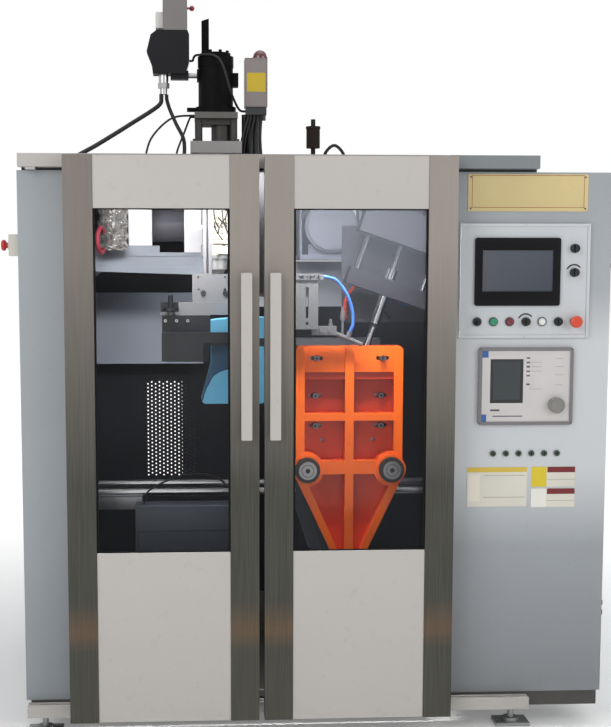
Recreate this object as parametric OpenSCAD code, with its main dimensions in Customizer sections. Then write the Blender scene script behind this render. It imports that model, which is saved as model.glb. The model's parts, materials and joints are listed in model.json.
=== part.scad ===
// Single station extrusion blow moulding machine with two front sliding doors.
// Millimetres. X to the right, Y into the machine, Z up, floor at Z = 0.
// Inside the modules X = 0 is the gap between the doors and Y = 0 the front of the doors;
// place() then moves everything so that the whole machine is centred on the origin.

/* [Housing] */
// width of one sliding door
door_w = 590; // [540:5:640]
// height of a sliding door
door_h = 1750; // [1700:10:1850]
// height of the door bottoms and of the sill above the floor
floor_clear = 72; // [60:2:110]
// depth of the main housing from the front sheets to the rear sheets
housing_d = 1400; // [1400:10:1600]
// width of the control cabinet
cabinet_w = 501; // [480:1:560]
// depth of the control cabinet
cabinet_d = 330; // [260:10:360]
// thickness of the folded cover sheets
sheet_t = 3; // [2:0.5:4]

/* [Doors] */
// width of a stainless stile
stile_w = 89; // [80:1:96]
// height of the upper door panel
top_panel_h = 159; // [140:1:180]
// height of the lower door panel
low_panel_h = 538; // [500:2:560]
// thickness of a door
door_t = 34; // [32:1:36]
// travel of a sliding door
door_travel = 330; // [200:10:340]

/* [Clamping unit] */
// width of the orange platen
platen_w = 360; // [350:2:370]
// radius of a tie bar
tie_r = 22; // [18:1:24]
// distance between the two upper tie bars
tie_pitch = 283; // [276:1:288]
// width of a mould half
mould_w = 226; // [200:2:230]
// travel of each platen from open to closed
clamp_travel = 109.7; // [80:0.1:109.7]
// radius of the carriage rails
rail_r = 15; // [12:1:16]

/* [Extrusion head] */
// radius of the head body
head_r = 46; // [40:1:50]
// radius of the wall thickness actuator
actuator_r = 60; // [54:1:62]
// radius of the extruder cover
barrel_cover_r = 85; // [75:1:95]

/* [Blow pin] */
// tilt of the blow pin from upright
pin_tilt = 19; // [16:1:20]
// radius of the chromed mandrel
mandrel_r = 17.5; // [14:0.5:18]
// radius of the inclined guide rods
guide_r = 10; // [8:0.5:11]

/* [Controls] */
// radius of the bezel of a 22 mm push button
bezel_r = 14.5; // [13:0.5:15.5]
// radius of an emergency stop head
stop_r = 19; // [16:0.5:20]

/* [Hidden] */
$fn = 48;

// clearances
weld = 0.2;          // hairline between welded tubes, so each stays its own solid
run_gap = 0.3;       // between surfaces that move on each other
seat_gap = 0.2;      // between fitted pieces of one body
e = 0.01;

// levels
base_h = 46;
sill_h = 38;
header_h = 40;
track_d = 40;
track_y = 60;
front_y = track_y + track_d;
door_z0 = floor_clear;
door_z1 = door_z0 + door_h;
base_z1 = floor_clear + base_h;
header_z1 = door_z1 + 8;
header_z0 = header_z1 - header_h;
top_z0 = header_z0 - 8;
roof_t = 4;
top_z1 = header_z1 - roof_t;
pan_t = 3;
pan_z1 = base_z1 + weld + pan_t;

// plan
door_gap = 16;
door_in = door_gap / 2;
door_out = door_in + door_w;
left_x = -(door_out + 147);
frame_l = left_x + 15;
main_r = door_out + 266;
cab_l = door_out + 8;
cab_r = cab_l + cabinet_w - 4;
cab_back = front_y + cabinet_d;
beam_w = 60;
inner_l = frame_l + beam_w;
inner_r = main_r - beam_w;
rear_y = front_y + housing_d;

// clamping unit
clamp_x = 312;
tie_dx = tie_pitch / 2;
platen_y = 350;
rib_d = 46;
plate_d = 24;
platen_back = platen_y + rib_d + plate_d;
mould_t = 120;
part_y = 650;
mid_y0 = part_y + 110 + mould_t;
mid_t = 60;
rail_y1 = 570;
rail_y2 = 760;
carriage_travel = 437;
table_t = 18;
wall_y = 1000;
wall_t = 40;
ram_r = 28;
ram_body_r = 60;
ram_end = 1178;
yoke_y = 1185;
yoke_t = 65;

// head
head_x = -125;
head_y = part_y;
axis_z = door_z1 - 222;
die_z = axis_z - 132;
mount_z = header_z1 + 48;
mount_t = 40;
pillar_h = 79;
flange_z = mount_z + mount_t + pillar_h;
flange_t = 21;
act_z = flange_z + flange_t;
act_top = act_z + 205;
mani_z = act_z + 132;
mani_top = mani_z + 147;
valve_top = mani_top + 105;
hang_y1 = 540;
hang_y2 = 700;
hang_y3 = 900;
hang_y4 = rear_y - 200;
hang_z = axis_z - 30;
drum_z = axis_z + 50;
duct_z = axis_z - 42;

// rear drive
motor_x = 346;
motor_z = axis_z + 55;
motor_y0 = rear_y - 238;
motor_r = 105;
belt_y = rear_y + 205;
belt_t = 60;
gear_end = belt_y + belt_t + 250;
gear_z0 = axis_z - 200;
stand_z1 = gear_z0 - 20;

// blow pin: local w runs up the tilted axis from the tip
tip_x = 408;
pin_travel = 95;
guide_u = 124;

// levels of the clamping unit, hung below the die
tip_z = die_z - 256;
platen_top = tip_z + 15;
mould_z1 = tip_z - 17;
mould_z0 = mould_z1 - 340;
tie_z = platen_top - 414;
low_tie_z = tie_z - 393;
ram_z = tie_z + 187;
mid_z0 = tie_z - 48;
rail_z = tie_z - 108;
table_z0 = rail_z + 33;
bracket_h = 35;

// take-out unit: top of its lower bar
bar_z = die_z - 93;

// controls
panel_t = 8;
panel_y = front_y - panel_t;
hole_r = 11.25;
panel_z1 = top_z0 - 159;
panel_z0 = panel_z1 - 357;
row_z = panel_z0 + 51;
knob_row = [panel_z1 - 77, panel_z1 - 152];
screen_z0 = panel_z0 + 101;
control_z0 = panel_z0 - 276;
socket_z = control_z0 - 92;
placard_z1 = socket_z - 44;
row_x0 = 681;
row_step = 51.7;
knob_row_x = 987;
socket_x0 = 741;
socket_step = 41.2;
brass_z1 = top_z0 - 6;
brass_h = 115;
bezel_d = 4;
cap_gap = 0.35;

// outer limits, used to centre the machine
stop_tip = left_x - 30 - 26;
hinge_r = 5;
hinge_out = 8;
right_tip = cab_r + 4 + hinge_out + hinge_r;
handle_d = 34;
handle_t = 10;
x_mid = (stop_tip + right_tip) / 2;
y_mid = (gear_end - handle_d) / 2;

module place() { translate([-x_mid, -y_mid, 0]) children(); }

module box(x0, x1, y0, y1, z0, z1) {
  translate([x0, y0, z0]) cube([x1 - x0, y1 - y0, z1 - z0]);
}
module cyl_x(x0, x1, y, z, r) { translate([x0, y, z]) rotate([0, 90, 0]) cylinder(h = x1 - x0, r = r); }
module cyl_y(x, y0, y1, z, r) { translate([x, y0, z]) rotate([-90, 0, 0]) cylinder(h = y1 - y0, r = r); }
module cyl_z(x, y, z0, z1, r) { translate([x, y, z0]) cylinder(h = z1 - z0, r = r); }

// flat shape drawn in X and Z, given its depth from y0 to y1
module slab(y0, y1) { translate([0, y1, 0]) rotate([90, 0, 0]) linear_extrude(y1 - y0) children(); }
// profile drawn in Y and Z, run along X from x0 to x1
module run_x(x0, x1) { translate([x0, 0, 0]) rotate([90, 0, 90]) linear_extrude(x1 - x0) children(); }

// square tube with a 4 mm wall along one axis
module tube_x(x0, x1, y0, y1, z0, z1) {
  difference() {
    box(x0, x1, y0, y1, z0, z1);
    box(x0 - 1, x1 + 1, y0 + 4, y1 - 4, z0 + 4, z1 - 4);
  }
}
module tube_y(x0, x1, y0, y1, z0, z1) {
  difference() {
    box(x0, x1, y0, y1, z0, z1);
    box(x0 + 4, x1 - 4, y0 - 1, y1 + 1, z0 + 4, z1 - 4);
  }
}
module tube_z(x0, x1, y0, y1, z0, z1) {
  difference() {
    box(x0, x1, y0, y1, z0, z1);
    box(x0 + 4, x1 - 4, y0 + 4, y1 - 4, z0 - 1, z1 + 1);
  }
}
module rounded(w, h, r) {
  union() {
    translate([r, 0]) square([w - 2 * r, h]);
    translate([0, r]) square([w, h - 2 * r]);
    for (x = [r, w - r]) for (y = [r, h - r]) translate([x, y]) circle(r);
  }
}

// hose: one swept surface through a list of points; the first and last steps run straight
function spline(a, b, c, d, t) = 0.5 * (2 * b + (c - a) * t + (2 * a - 5 * b + 4 * c - d) * t * t
  + (3 * b - a - 3 * c + d) * t * t * t);
function route_line(p, n) = concat([p[0]], [for (i = [1 : len(p) - 3]) for (k = [0 : n - 1])
  spline(p[i - 1], p[i], p[i + 1], p[i + 2], k / n)], [p[len(p) - 2], p[len(p) - 1]]);
function unit(v) = v / norm(v);
function heading(c, i) = unit(c[min(i + 1, len(c) - 1)] - c[max(i - 1, 0)]);
module hose(points, r, side, n = 6, sides = 10) {
  c = route_line(points, n);
  m = len(c);
  ring = [for (i = [0 : m - 1]) let(t = heading(c, i), a = unit(cross(t, side)), b = cross(t, a))
    for (k = [0 : sides - 1]) c[i] + r * (a * cos(360 * k / sides) + b * sin(360 * k / sides))];
  faces = concat([[for (k = [0 : sides - 1]) k]],
    [for (i = [0 : m - 2]) for (k = [0 : sides - 1]) let(q = (k + 1) % sides)
      each [[i * sides + k, (i + 1) * sides + k, i * sides + q],
            [i * sides + q, (i + 1) * sides + k, (i + 1) * sides + q]]],
    [[for (k = [sides - 1 : -1 : 0]) (m - 1) * sides + k]]);
  polyhedron(points = ring, faces = faces, convexity = 6);
}

// frame of the blow pin
module pin_axis() { translate([tip_x, part_y, tip_z]) rotate([0, pin_tilt, 0]) children(); }

// frame and feet
module machine_frame() {
  color("#3d4247") place() {
    tube_x(frame_l, cab_r - 8, front_y, front_y + beam_w, floor_clear, base_z1);
    tube_x(frame_l, main_r, rear_y - beam_w, rear_y, floor_clear, base_z1);
    tube_y(frame_l, inner_l, front_y + beam_w + weld, rear_y - beam_w - weld, floor_clear, base_z1);
    tube_y(inner_r, main_r, front_y + beam_w + weld, rear_y - beam_w - weld, floor_clear, base_z1);
    tube_x(main_r + weld, cab_r - 8, cab_back - beam_w, cab_back, floor_clear, base_z1);
    tube_x(inner_l + weld, inner_r - weld, 780, 840, floor_clear, base_z1);
    // drip tray
    box(inner_l - 20, cab_l - 60, front_y + 72, cab_back + 62, base_z1 + weld, pan_z1);
    box(inner_l - 20, inner_r + 20, cab_back + 62 + weld, rear_y - beam_w - 2, base_z1 + weld, pan_z1);
    // posts
    for (x = [frame_l, inner_r]) tube_z(x, x + beam_w, rear_y - beam_w, rear_y, base_z1 + weld, top_z0 - weld);
    tube_z(frame_l, inner_l, front_y + sheet_t + weld, front_y + 64, base_z1 + weld, top_z0 - weld);
    tube_z(cab_l - 52, cab_l - 2, front_y + weld, front_y + 64, base_z1 + weld, top_z0 - weld);
    tube_z(inner_r, main_r, cab_back + 1, cab_back + 61, base_z1 + weld, top_z0 - weld);
    // top
    tube_x(frame_l, main_r, front_y, front_y + beam_w, top_z0, top_z1);
    tube_x(frame_l, main_r, rear_y - beam_w, rear_y, top_z0, top_z1);
    for (x = [frame_l, inner_r]) tube_y(x, x + beam_w, front_y + beam_w + weld, rear_y - beam_w - weld, top_z0, top_z1);
    for (y = [hang_y1, hang_y2, hang_y3, hang_y4])
      tube_x(inner_l + weld, inner_r - weld, y, y + beam_w, top_z0, top_z1);
    // side members that carry the rail brackets
    tube_y(frame_l, inner_l, front_y + 64 + weld, rear_y - beam_w - weld, rail_z - bracket_h - 50, rail_z - bracket_h);
    tube_y(inner_r, main_r, cab_back + 61 + weld, rear_y - beam_w - weld, rail_z - bracket_h - 50, rail_z - bracket_h);
    // rear stand for the extruder drive
    for (x = [-255, -55]) tube_y(x, x + beam_w, rear_y + weld, gear_end, floor_clear, base_z1);
    for (x = [-255, -55]) for (y = [belt_y + 70, gear_end - 60])
      tube_z(x, x + beam_w, y, y + beam_w, base_z1 + weld, stand_z1);
    box(-255, 5, belt_y + 70, gear_end, stand_z1 + weld, gear_z0);
  }
}

foot_spots = [[frame_l + 40, front_y + 40], [main_r - 40, front_y + 40], [frame_l + 40, rear_y - 40],
  [main_r - 40, rear_y - 40], [cab_r - 50, cab_back - 30], [-225, gear_end - 40], [-25, gear_end - 40]];
module levelling_feet() {
  color("#6d7072") place() {
    for (p = foot_spots) translate([p[0], p[1], 0]) difference() {
      union() {
        translate([-55, -40, 0]) cube([110, 80, 12]);
        cylinder(h = 22, r = 26);
        cylinder(h = floor_clear, r = 10);
        translate([0, 0, floor_clear - 12]) cylinder(h = 12, r = 19, $fn = 6);
      }
      translate([-42, 0, -1]) cylinder(h = 20, r = 7);
    }
  }
}

// door tracks
module track(z0, z1, slit_up) {
  run_x(left_x + 7, main_r) difference() {
    translate([track_y, z0]) square([track_d, z1 - z0]);
    translate([track_y + 3, z0 + 3]) square([track_d - 6, z1 - z0 - 6]);
    translate([track_y + 15, slit_up ? z1 - 4 : z0 - 1]) square([10, 5]);
  }
}
module door_tracks() {
  color("#c9c6bf") place() {
    track(header_z0, header_z1, false);
    track(floor_clear, floor_clear + sill_h, true);
    // limit switch under the header
    box(left_x + 30, left_x + 60, track_y + 5, track_y + 35, header_z0 - 8, header_z0);
  }
}

// sheets at the front left, roof, rear and right
knuckle_z = [364, 1485];
stop_y = front_y + 45;
module hinge_fixed(x, y) {
  for (z = knuckle_z) for (k = [0, 32]) cyl_z(x, y, z + k, z + k + 16, hinge_r);
}
module hinge_moving(x, y) {
  for (z = knuckle_z) cyl_z(x, y, z + 16 + run_gap, z + 32 - run_gap, hinge_r);
}
side_split = front_y + 105;
module left_front_panel() {
  color("#a9b1b4") place() {
    box(left_x, -door_out + 40, front_y, front_y + sheet_t, base_z1, top_z0);
    box(left_x, left_x + sheet_t, front_y, side_split, base_z1, top_z0);
    hinge_fixed(left_x - hinge_out, side_split + 3);
    for (z = knuckle_z) for (k = [0, 32])
      box(left_x - hinge_out, left_x + 1, side_split - 22, side_split + 1, z + k, z + k + 16);
  }
}

module control_holes(y0, y1) {
  for (i = [0 : 6]) cyl_y(row_x0 + i * row_step, y0, y1, row_z, hole_r);
  for (z = knob_row) cyl_y(knob_row_x, y0, y1, z, hole_r);
  box(690, 922, y0, y1, screen_z0 + 18, screen_z0 + 194);
}
cab_split = front_y + 40;
module control_cabinet() {
  color("#a9b1b4") place() {
    difference() {
      box(cab_l, cab_r, front_y, cab_back, base_z1, top_z0);
      box(cab_l + sheet_t, cab_r + 1, front_y + sheet_t, cab_back - sheet_t, base_z1 + sheet_t, top_z0 - sheet_t);
      control_holes(front_y - 1, front_y + 5);
      box(706, 975, front_y - 1, front_y + 5, control_z0 + 16, control_z0 + 230);
      for (i = [0 : 5]) cyl_y(socket_x0 + i * socket_step, front_y - 1, front_y + 5, socket_z, 6.2);
    }
    // fixed strip beside the side door and its return at the back
    box(cab_r - 1, cab_r + 4, front_y, cab_split, base_z1, top_z0);
    box(cab_r - 25, cab_r, cab_back - sheet_t, cab_back, base_z1, top_z0);
    hinge_fixed(cab_r + 4 + hinge_out, cab_split + 3);
    for (z = knuckle_z) for (k = [0, 32])
      box(cab_r + 3, cab_r + 4 + hinge_out, cab_split - 22, cab_split + 1, z + k, z + k + 16);
    // mounting plate
    box(cab_l + 44, cab_r - 44, cab_back - 24, cab_back - 21, 300, 1560);
    for (x = [cab_l + 80, cab_r - 80]) for (z = [340, 930, 1520]) cyl_y(x, cab_back - 22, cab_back - 2, z, 9);
  }
}

module roof_panel() {
  color("#b9b9b4") place() {
    difference() {
      box(left_x + 7, main_r, front_y, rear_y, top_z1, header_z1);
      cyl_z(head_x, head_y, top_z1 - 1, header_z1 + 1, head_r + 12);
    }
    // raised seam over the joints of the sheets
    for (x = [-300, 420]) box(x, x + 40, 900, rear_y, header_z1 - e, header_z1 + 3);
  }
}

perf_step = 16;
perf_r = 3.4;
module rear_panels() {
  color("#a9b1b4") place() {
    // rear sheet with the opening for the extruder and the perforated guard
    slab(rear_y + seat_gap, rear_y + seat_gap + sheet_t) difference() {
      translate([left_x, base_z1]) square([main_r - left_x + 3, header_z1 - base_z1]);
      translate([head_x, axis_z]) circle(barrel_cover_r + 8);
      translate([motor_x - 129, motor_z - motor_r - 32]) square([258, 2 * motor_r + 36]);
      for (i = [0 : 12]) for (k = [0 : 24])
        translate([-396 + i * perf_step, 624 + (k + (i % 2) / 2) * perf_step]) circle(perf_r);
    }
    // right sheet behind the control cabinet
    box(main_r + seat_gap, main_r + 3, cab_back + 1, rear_y + 1, base_z1, header_z1);
  }
}

module estop_box() {
  color("#c8c4b8") place() {
    difference() {
      union() {
        box(left_x - 30, left_x, stop_y - 33, stop_y + 33, 1522, 1588);
        cyl_x(left_x - 34, left_x - 29, stop_y, 1555, 15);
      }
      cyl_x(left_x - 36, left_x - 10, stop_y, 1555, hole_r);
    }
  }
}

// operator controls
module bezel_ring(x, z) {
  difference() {
    cyl_y(x, panel_y - bezel_d, panel_y + 1, z, bezel_r);
    cyl_y(x, panel_y - bezel_d - 1, panel_y + 2, z, hole_r);
  }
}
module operator_panel() {
  color("#b4bbbd") place() {
    difference() {
      union() {
        box(626, 1037, panel_y, front_y, panel_z0, panel_z1);
        difference() {
          box(626, 1037, panel_y - 3, panel_y + 1, panel_z0, panel_z1);
          box(635, 1028, panel_y - 4, panel_y, panel_z0 + 9, panel_z1 - 9);
        }
      }
      control_holes(panel_y - 5, front_y + 1);
    }
    for (i = [0 : 6]) bezel_ring(row_x0 + i * row_step, row_z);
    for (z = knob_row) bezel_ring(knob_row_x, z);
    // lens of the pilot lamp
    translate([row_x0 + 4 * row_step, panel_y - bezel_d - 1, row_z]) rotate([90, 0, 0])
      cylinder(h = 5, r1 = hole_r, r2 = 8);
    cyl_y(row_x0 + 4 * row_step, panel_y - bezel_d - 1 - e, front_y, row_z, hole_r);
  }
}

module touch_screen() {
  color("#26282b") place() {
    difference() {
      slab(panel_y - 8, panel_y) translate([671, screen_z0]) rounded(271, 212, 8);
      box(695, 918, panel_y - 9, panel_y - 5, screen_z0 + 45, screen_z0 + 173);
    }
    box(690 + seat_gap, 922 - seat_gap, panel_y - e, panel_y + 42, screen_z0 + 18 + seat_gap, screen_z0 + 194 - seat_gap);
  }
}

knob_x = 938;
knob_z = control_z0 + 63;
module parison_controller() {
  color("#7d746b") place() {
    difference() {
      slab(front_y - 12, front_y) translate([689, control_z0]) rounded(303, 246, 10);
      box(700, 981, front_y - 13, front_y - 8, control_z0 + 11, control_z0 + 235);
      box(727, 832, front_y - 13, front_y - 5, control_z0 + 70, control_z0 + 209);
      cyl_y(knob_x, front_y - 13, front_y + 30, knob_z, 4);
    }
    difference() {
      box(706 + seat_gap, 975 - seat_gap, front_y - e, front_y + 110,
        control_z0 + 16 + seat_gap, control_z0 + 230 - seat_gap);
      cyl_y(knob_x, front_y - 13, front_y + 30, knob_z, 4);
    }
    for (k = [0 : 7]) box(852, 868, front_y - 9, front_y - 7, control_z0 + 118 + k * 12, control_z0 + 122 + k * 12);
  }
}

module signal_sockets() {
  color("#2f3a33") place() {
    for (i = [0 : 5]) difference() {
      union() {
        cyl_y(socket_x0 + i * socket_step, front_y - 5, front_y, socket_z, 9.5);
        cyl_y(socket_x0 + i * socket_step, front_y - e, front_y + 16, socket_z, 6);
      }
      cyl_y(socket_x0 + i * socket_step, front_y - 6, front_y + 8, socket_z, 3.5);
    }
  }
}

module bare_plates() {
  color("#b89a4c") place() {
    slab(front_y - 2, front_y) translate([648, brass_z1 - brass_h]) rounded(380, brass_h, 4);
    for (x = [657, 1019]) for (z = [brass_z1 - brass_h + 9, brass_z1 - 9]) cyl_y(x, front_y - 3.5, front_y - 1.5, z, 3);
    box(659, 852, front_y - 1.5, front_y, placard_z1 - 127, placard_z1);
    box(867, 1008, front_y - 1.5, front_y, placard_z1 - 64, placard_z1);
    box(867, 1008, front_y - 1.5, front_y, placard_z1 - 130, placard_z1 - 70);
  }
}

module turn_knob(x, z, r) {
  cyl_y(x, panel_y - bezel_d - 14, panel_y - bezel_d - cap_gap, z, r);
  cyl_y(x, panel_y - bezel_d - 1, panel_y + 20, z, hole_r - 1);
  box(x - 3, x + 3, panel_y - bezel_d - 20, panel_y - bezel_d - 10, z - r + 1, z + r - 1);
}
module push_cap(x, z) {
  difference() {
    cyl_y(x, panel_y - bezel_d - 5, panel_y + 20, z, hole_r - cap_gap);
    translate([x, panel_y - bezel_d - 23, z]) sphere(r = 19);
  }
}
module key_switch() {
  color("#1d1e20") place() {
    cyl_y(row_x0, panel_y - bezel_d - 6, panel_y + 20, row_z, hole_r - cap_gap);
    box(row_x0 - 1.2, row_x0 + 1.2, panel_y - bezel_d - 24, panel_y - bezel_d - 5, row_z - 9, row_z + 3);
  }
}
module green_button() { color("#2c7d4a") place() push_cap(row_x0 + row_step, row_z); }
module red_button() { color("#8c1f24") place() push_cap(row_x0 + 2 * row_step, row_z); }
module speed_knob() { color("#1d1e20") place() turn_knob(row_x0 + 3 * row_step, row_z, 12); }
module mode_selector() { color("#1d1e20") place() turn_knob(row_x0 + 5 * row_step, row_z, 11.5); }
module upper_selector() { color("#1d1e20") place() turn_knob(knob_row_x, knob_row[0], 13); }
module lower_knob() { color("#1d1e20") place() turn_knob(knob_row_x, knob_row[1], 13); }
module mushroom(r) {
  cylinder(h = 14, r = 9);
  translate([0, 0, 12]) cylinder(h = 5, r1 = r - 3, r2 = r);
  translate([0, 0, 17 - e]) cylinder(h = 5, r = r);
  translate([0, 0, 22 - 2 * e]) cylinder(h = 4, r1 = r, r2 = r - 5);
}
module panel_estop() {
  color("#d23b1e") place() {
    translate([row_x0 + 6 * row_step, panel_y - bezel_d - 3, row_z]) rotate([90, 0, 0]) mushroom(stop_r);
    cyl_y(row_x0 + 6 * row_step, panel_y - bezel_d - 4, panel_y + 20, row_z, hole_r - cap_gap);
  }
}
module left_estop() {
  color("#b5252a") place() {
    translate([left_x - 34 + 4, stop_y, 1555]) rotate([0, -90, 0]) mushroom(17);
    cyl_x(left_x - 31, left_x - 14, stop_y, 1555, hole_r - cap_gap);
  }
}
module controller_knob() {
  color("#6f6a66") place() {
    cyl_y(knob_x, front_y - 28, front_y - 8 - cap_gap, knob_z, 25);
    cyl_y(knob_x, front_y - 30, front_y - 27, knob_z, 20);
    cyl_y(knob_x, front_y - 9, front_y + 25, knob_z, 3.6);
  }
}

// sliding doors, drawn as the right one and mirrored for the left
module door_side(left) { if (left) { mirror([1, 0, 0]) children(); } else { children(); } }
module stile(x) {
  translate([x, 0, door_z0]) linear_extrude(door_h) difference() {
    square([stile_w, door_t]);
    translate([2, 2]) square([stile_w - 4, door_t - 4]);
    translate([20, door_t - 3]) square([stile_w - 40, 4]);
  }
}
pane_x0 = door_in + stile_w;
pane_x1 = door_out - stile_w;
pane_z0 = door_z0 + low_panel_h - 3;
pane_z1 = door_z1 - top_panel_h + 3;
module hanger(x) {
  box(x - 15, x + 15, door_t - 8, track_y + 23, header_z0 - 7, header_z0 - 2);
  box(x - 15, x + 15, track_y + 17, track_y + 23, header_z0 - 7, header_z0 + 20);
  cyl_y(x, track_y + 6, track_y + 34, header_z0 + 11.5, 3);
  cyl_y(x, track_y + 6, track_y + 14, header_z0 + 11.5, 8);
  cyl_y(x, track_y + 26, track_y + 34, header_z0 + 11.5, 8);
  box(x - 15, x + 15, door_t - 8, track_y + 23, door_z0 + sill_h + 2, door_z0 + sill_h + 6);
  box(x - 15, x + 15, track_y + 17, track_y + 23, door_z0 + 12, door_z0 + sill_h + 6);
}
module door_frame(left) {
  door_side(left) {
    stile(door_in);
    stile(door_out - stile_w);
    for (z = [[header_z0 - 10, door_z1 - 4], [pane_z1, pane_z1 + 25], [pane_z0 - 25, pane_z0],
      [door_z0 + 2, door_z0 + sill_h + 8]])
      box(pane_x0 + weld, pane_x1 - weld, 8, door_t - 4, z[0], z[1]);
    hanger(135);
    hanger(330);
  }
}
module door_panels(left) {
  door_side(left) {
    for (z = [[door_z1 - top_panel_h, door_z1 - 1], [door_z0 + 1, door_z0 + low_panel_h]])
      box(pane_x0 + seat_gap, pane_x1 - seat_gap, 3, 8, z[0], z[1]);
  }
}
module pull_handle(x) {
  slab(-handle_d, handle_t - handle_d) translate([x - 16.5, 962]) rounded(33, 508, 4);
  for (z = [992, 1412]) box(x - 9, x + 9, handle_t - handle_d - 1, 0, z, z + 28);
}
module door_window(left) {
  door_side(left) box(pane_x0 + seat_gap, pane_x1 - seat_gap, 12, 18, pane_z0 + seat_gap, pane_z1 - seat_gap);
}
module left_door_frame() { color("#8f8a80") place() door_frame(true); }
module right_door_frame() { color("#8f8a80") place() door_frame(false); }
module left_door_panels() { color("#bdb9b0") place() { door_panels(true); pull_handle(-48); } }
module right_door_panels() { color("#bdb9b0") place() { door_panels(false); pull_handle(40); } }
module left_door_window() { color([0.75, 0.8, 0.82, 0.3]) place() door_window(true); }
module right_door_window() { color([0.75, 0.8, 0.82, 0.3]) place() door_window(false); }

// side doors
module left_side_door() {
  color("#9ea7aa") place() {
    difference() {
      box(left_x, left_x + 13, side_split + 6, rear_y - 2, base_z1 + 2, top_z0 - 2);
      box(left_x + sheet_t, left_x + 14, side_split + 6 + sheet_t, rear_y - 2 - sheet_t,
        base_z1 + 2 + sheet_t, top_z0 - 2 - sheet_t);
    }
    hinge_moving(left_x - hinge_out, side_split + 3);
    for (z = knuckle_z)
      box(left_x - hinge_out, left_x + 1, side_split + 6, side_split + 26, z + 16 + run_gap, z + 32 - run_gap);
    // recessed pull near the free edge
    box(left_x - 14, left_x + 1, rear_y - 70, rear_y - 58, 900, 1040);
  }
}
module cabinet_side_door() {
  color("#9ea7aa") place() {
    box(cab_r + seat_gap, cab_r + 4, cab_split + 6, cab_back, base_z1 + 2, top_z0 - 2);
    hinge_moving(cab_r + 4 + hinge_out, cab_split + 3);
    for (z = knuckle_z)
      box(cab_r + 3, cab_r + 4 + hinge_out, cab_split + 6, cab_split + 26, z + 16 + run_gap, z + 32 - run_gap);
    cyl_x(cab_r + 3, cab_r + 14, cab_back - 40, 950, 14);
    box(cab_r + 13, cab_r + 16, cab_back - 45, cab_back - 35, 890, 980);
  }
}

// extrusion head
module die_head() {
  color("#9a9a97") place() difference() {
    union() {
      cyl_z(head_x, head_y, die_z + 60, mount_z, head_r);
      cyl_z(head_x, head_y, die_z + 52, die_z + 62, head_r + 6);
      cyl_z(head_x, head_y, die_z + 14, die_z + 54, head_r - 8);
      translate([head_x, head_y, die_z]) cylinder(h = 15, r1 = 24, r2 = head_r - 12);
      cyl_z(head_x, head_y, mount_z - 40, mount_z, head_r + 8);
      cyl_y(head_x, head_y, head_y + 110, axis_z, 30);
      cyl_y(head_x, head_y + 92, head_y + 110, axis_z, 48);
    }
    cyl_z(head_x, head_y, die_z - 1, die_z + 70, 14);
  }
}
band_z = [[die_z + 64, 36], [axis_z + 36, 50], [axis_z + 100, 50]];
module heater_bands() {
  color("#d8d2bd") place() {
    for (b = band_z) {
      difference() {
        cyl_z(head_x, head_y, b[0], b[0] + b[1], head_r + 8);
        cyl_z(head_x, head_y, b[0] - 1, b[0] + b[1] + 1, head_r + seat_gap);
      }
      box(head_x + 6, head_x + 44, head_y - head_r - 32, head_y - head_r - 4, b[0] + 4, b[0] + b[1] - 9);
      for (k = [0, 1]) cyl_z(head_x + 16 + k * 18, head_y - head_r - 18, b[0] + b[1] - 10, b[0] + b[1] - 2, 4);
    }
    // terminal plate in front of the two upper bands
    box(head_x - 19, head_x + 47, head_y - head_r - 22, head_y - head_r - 4, axis_z - 29, axis_z + 93);
  }
}
module head_mount() {
  color("#a8aaab") place() {
    difference() {
      box(head_x - 89, head_x + 87, head_y - 88, head_y + 88, mount_z, mount_z + mount_t);
      cyl_z(head_x, head_y, mount_z - 1, mount_z + mount_t + 1, 14);
    }
    for (x = [-72, 70]) for (y = [-70, 70]) {
      cyl_z(head_x + x, head_y + y, header_z1, mount_z, 14);
      cyl_z(head_x + x, head_y + y, mount_z + mount_t, mount_z + mount_t + 8, 9);
    }
    for (x = [-60, 60]) for (y = [-42, 42])
      cyl_z(head_x + x, head_y + y, mount_z + mount_t - e, flange_z + e, 13);
    cyl_z(head_x, head_y, mount_z + mount_t - 20, flange_z + e, 13.8);
    // coupling housing, and the spacer plate under the flange
    cyl_z(head_x + 22, head_y, mount_z + mount_t - e, flange_z - 14, 38);
    box(head_x - 68, head_x + 68, head_y - 48, head_y + 48, flange_z - 20, flange_z + e);
    slab(head_y - 70, head_y + 70) translate([head_x - 74, flange_z]) square([148, flange_t]);
  }
}
module parison_actuator() {
  color("#232527") place() {
    cyl_z(head_x, head_y, act_z, act_z + 22, 70);
    box(head_x - 100, head_x, head_y - 16, head_y + 16, act_z + 8, act_z + 20);
    cyl_z(head_x, head_y, act_z + 20, act_top - 46, actuator_r);
    cyl_z(head_x, head_y, act_top - 48, act_top - 12, actuator_r + 2);
    cyl_z(head_x, head_y, act_top - 13, act_top, actuator_r - 8);
    for (a = [0 : 45 : 315])
      translate([head_x + (actuator_r - 16) * cos(a + 20), head_y + (actuator_r - 16) * sin(a + 20), act_top - 1])
        cylinder(h = 9, r = 5.5);
    // port block on the right, port boss on the left
    box(head_x + 40, head_x + 78, head_y - 20, head_y + 20, act_z + 92, act_z + 138);
    box(head_x - 65, head_x - 30, head_y - 20, head_y + 20, mani_z - 22, mani_z + 18);
    // transducer housing behind
    difference() {
      box(head_x - 48, head_x - 22, head_y + 52, head_y + 80, act_z + 60, act_top + 128);
      translate([head_x - 49, head_y + 51, act_top + 120]) rotate([0, -18, 0]) cube([40, 40, 30]);
    }
    box(head_x - 48, head_x - 22, head_y + 30, head_y + 60, act_z + 60, act_z + 120);
  }
}
mani_x = head_x - 160;
hose_x = mani_x - 20;
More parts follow.
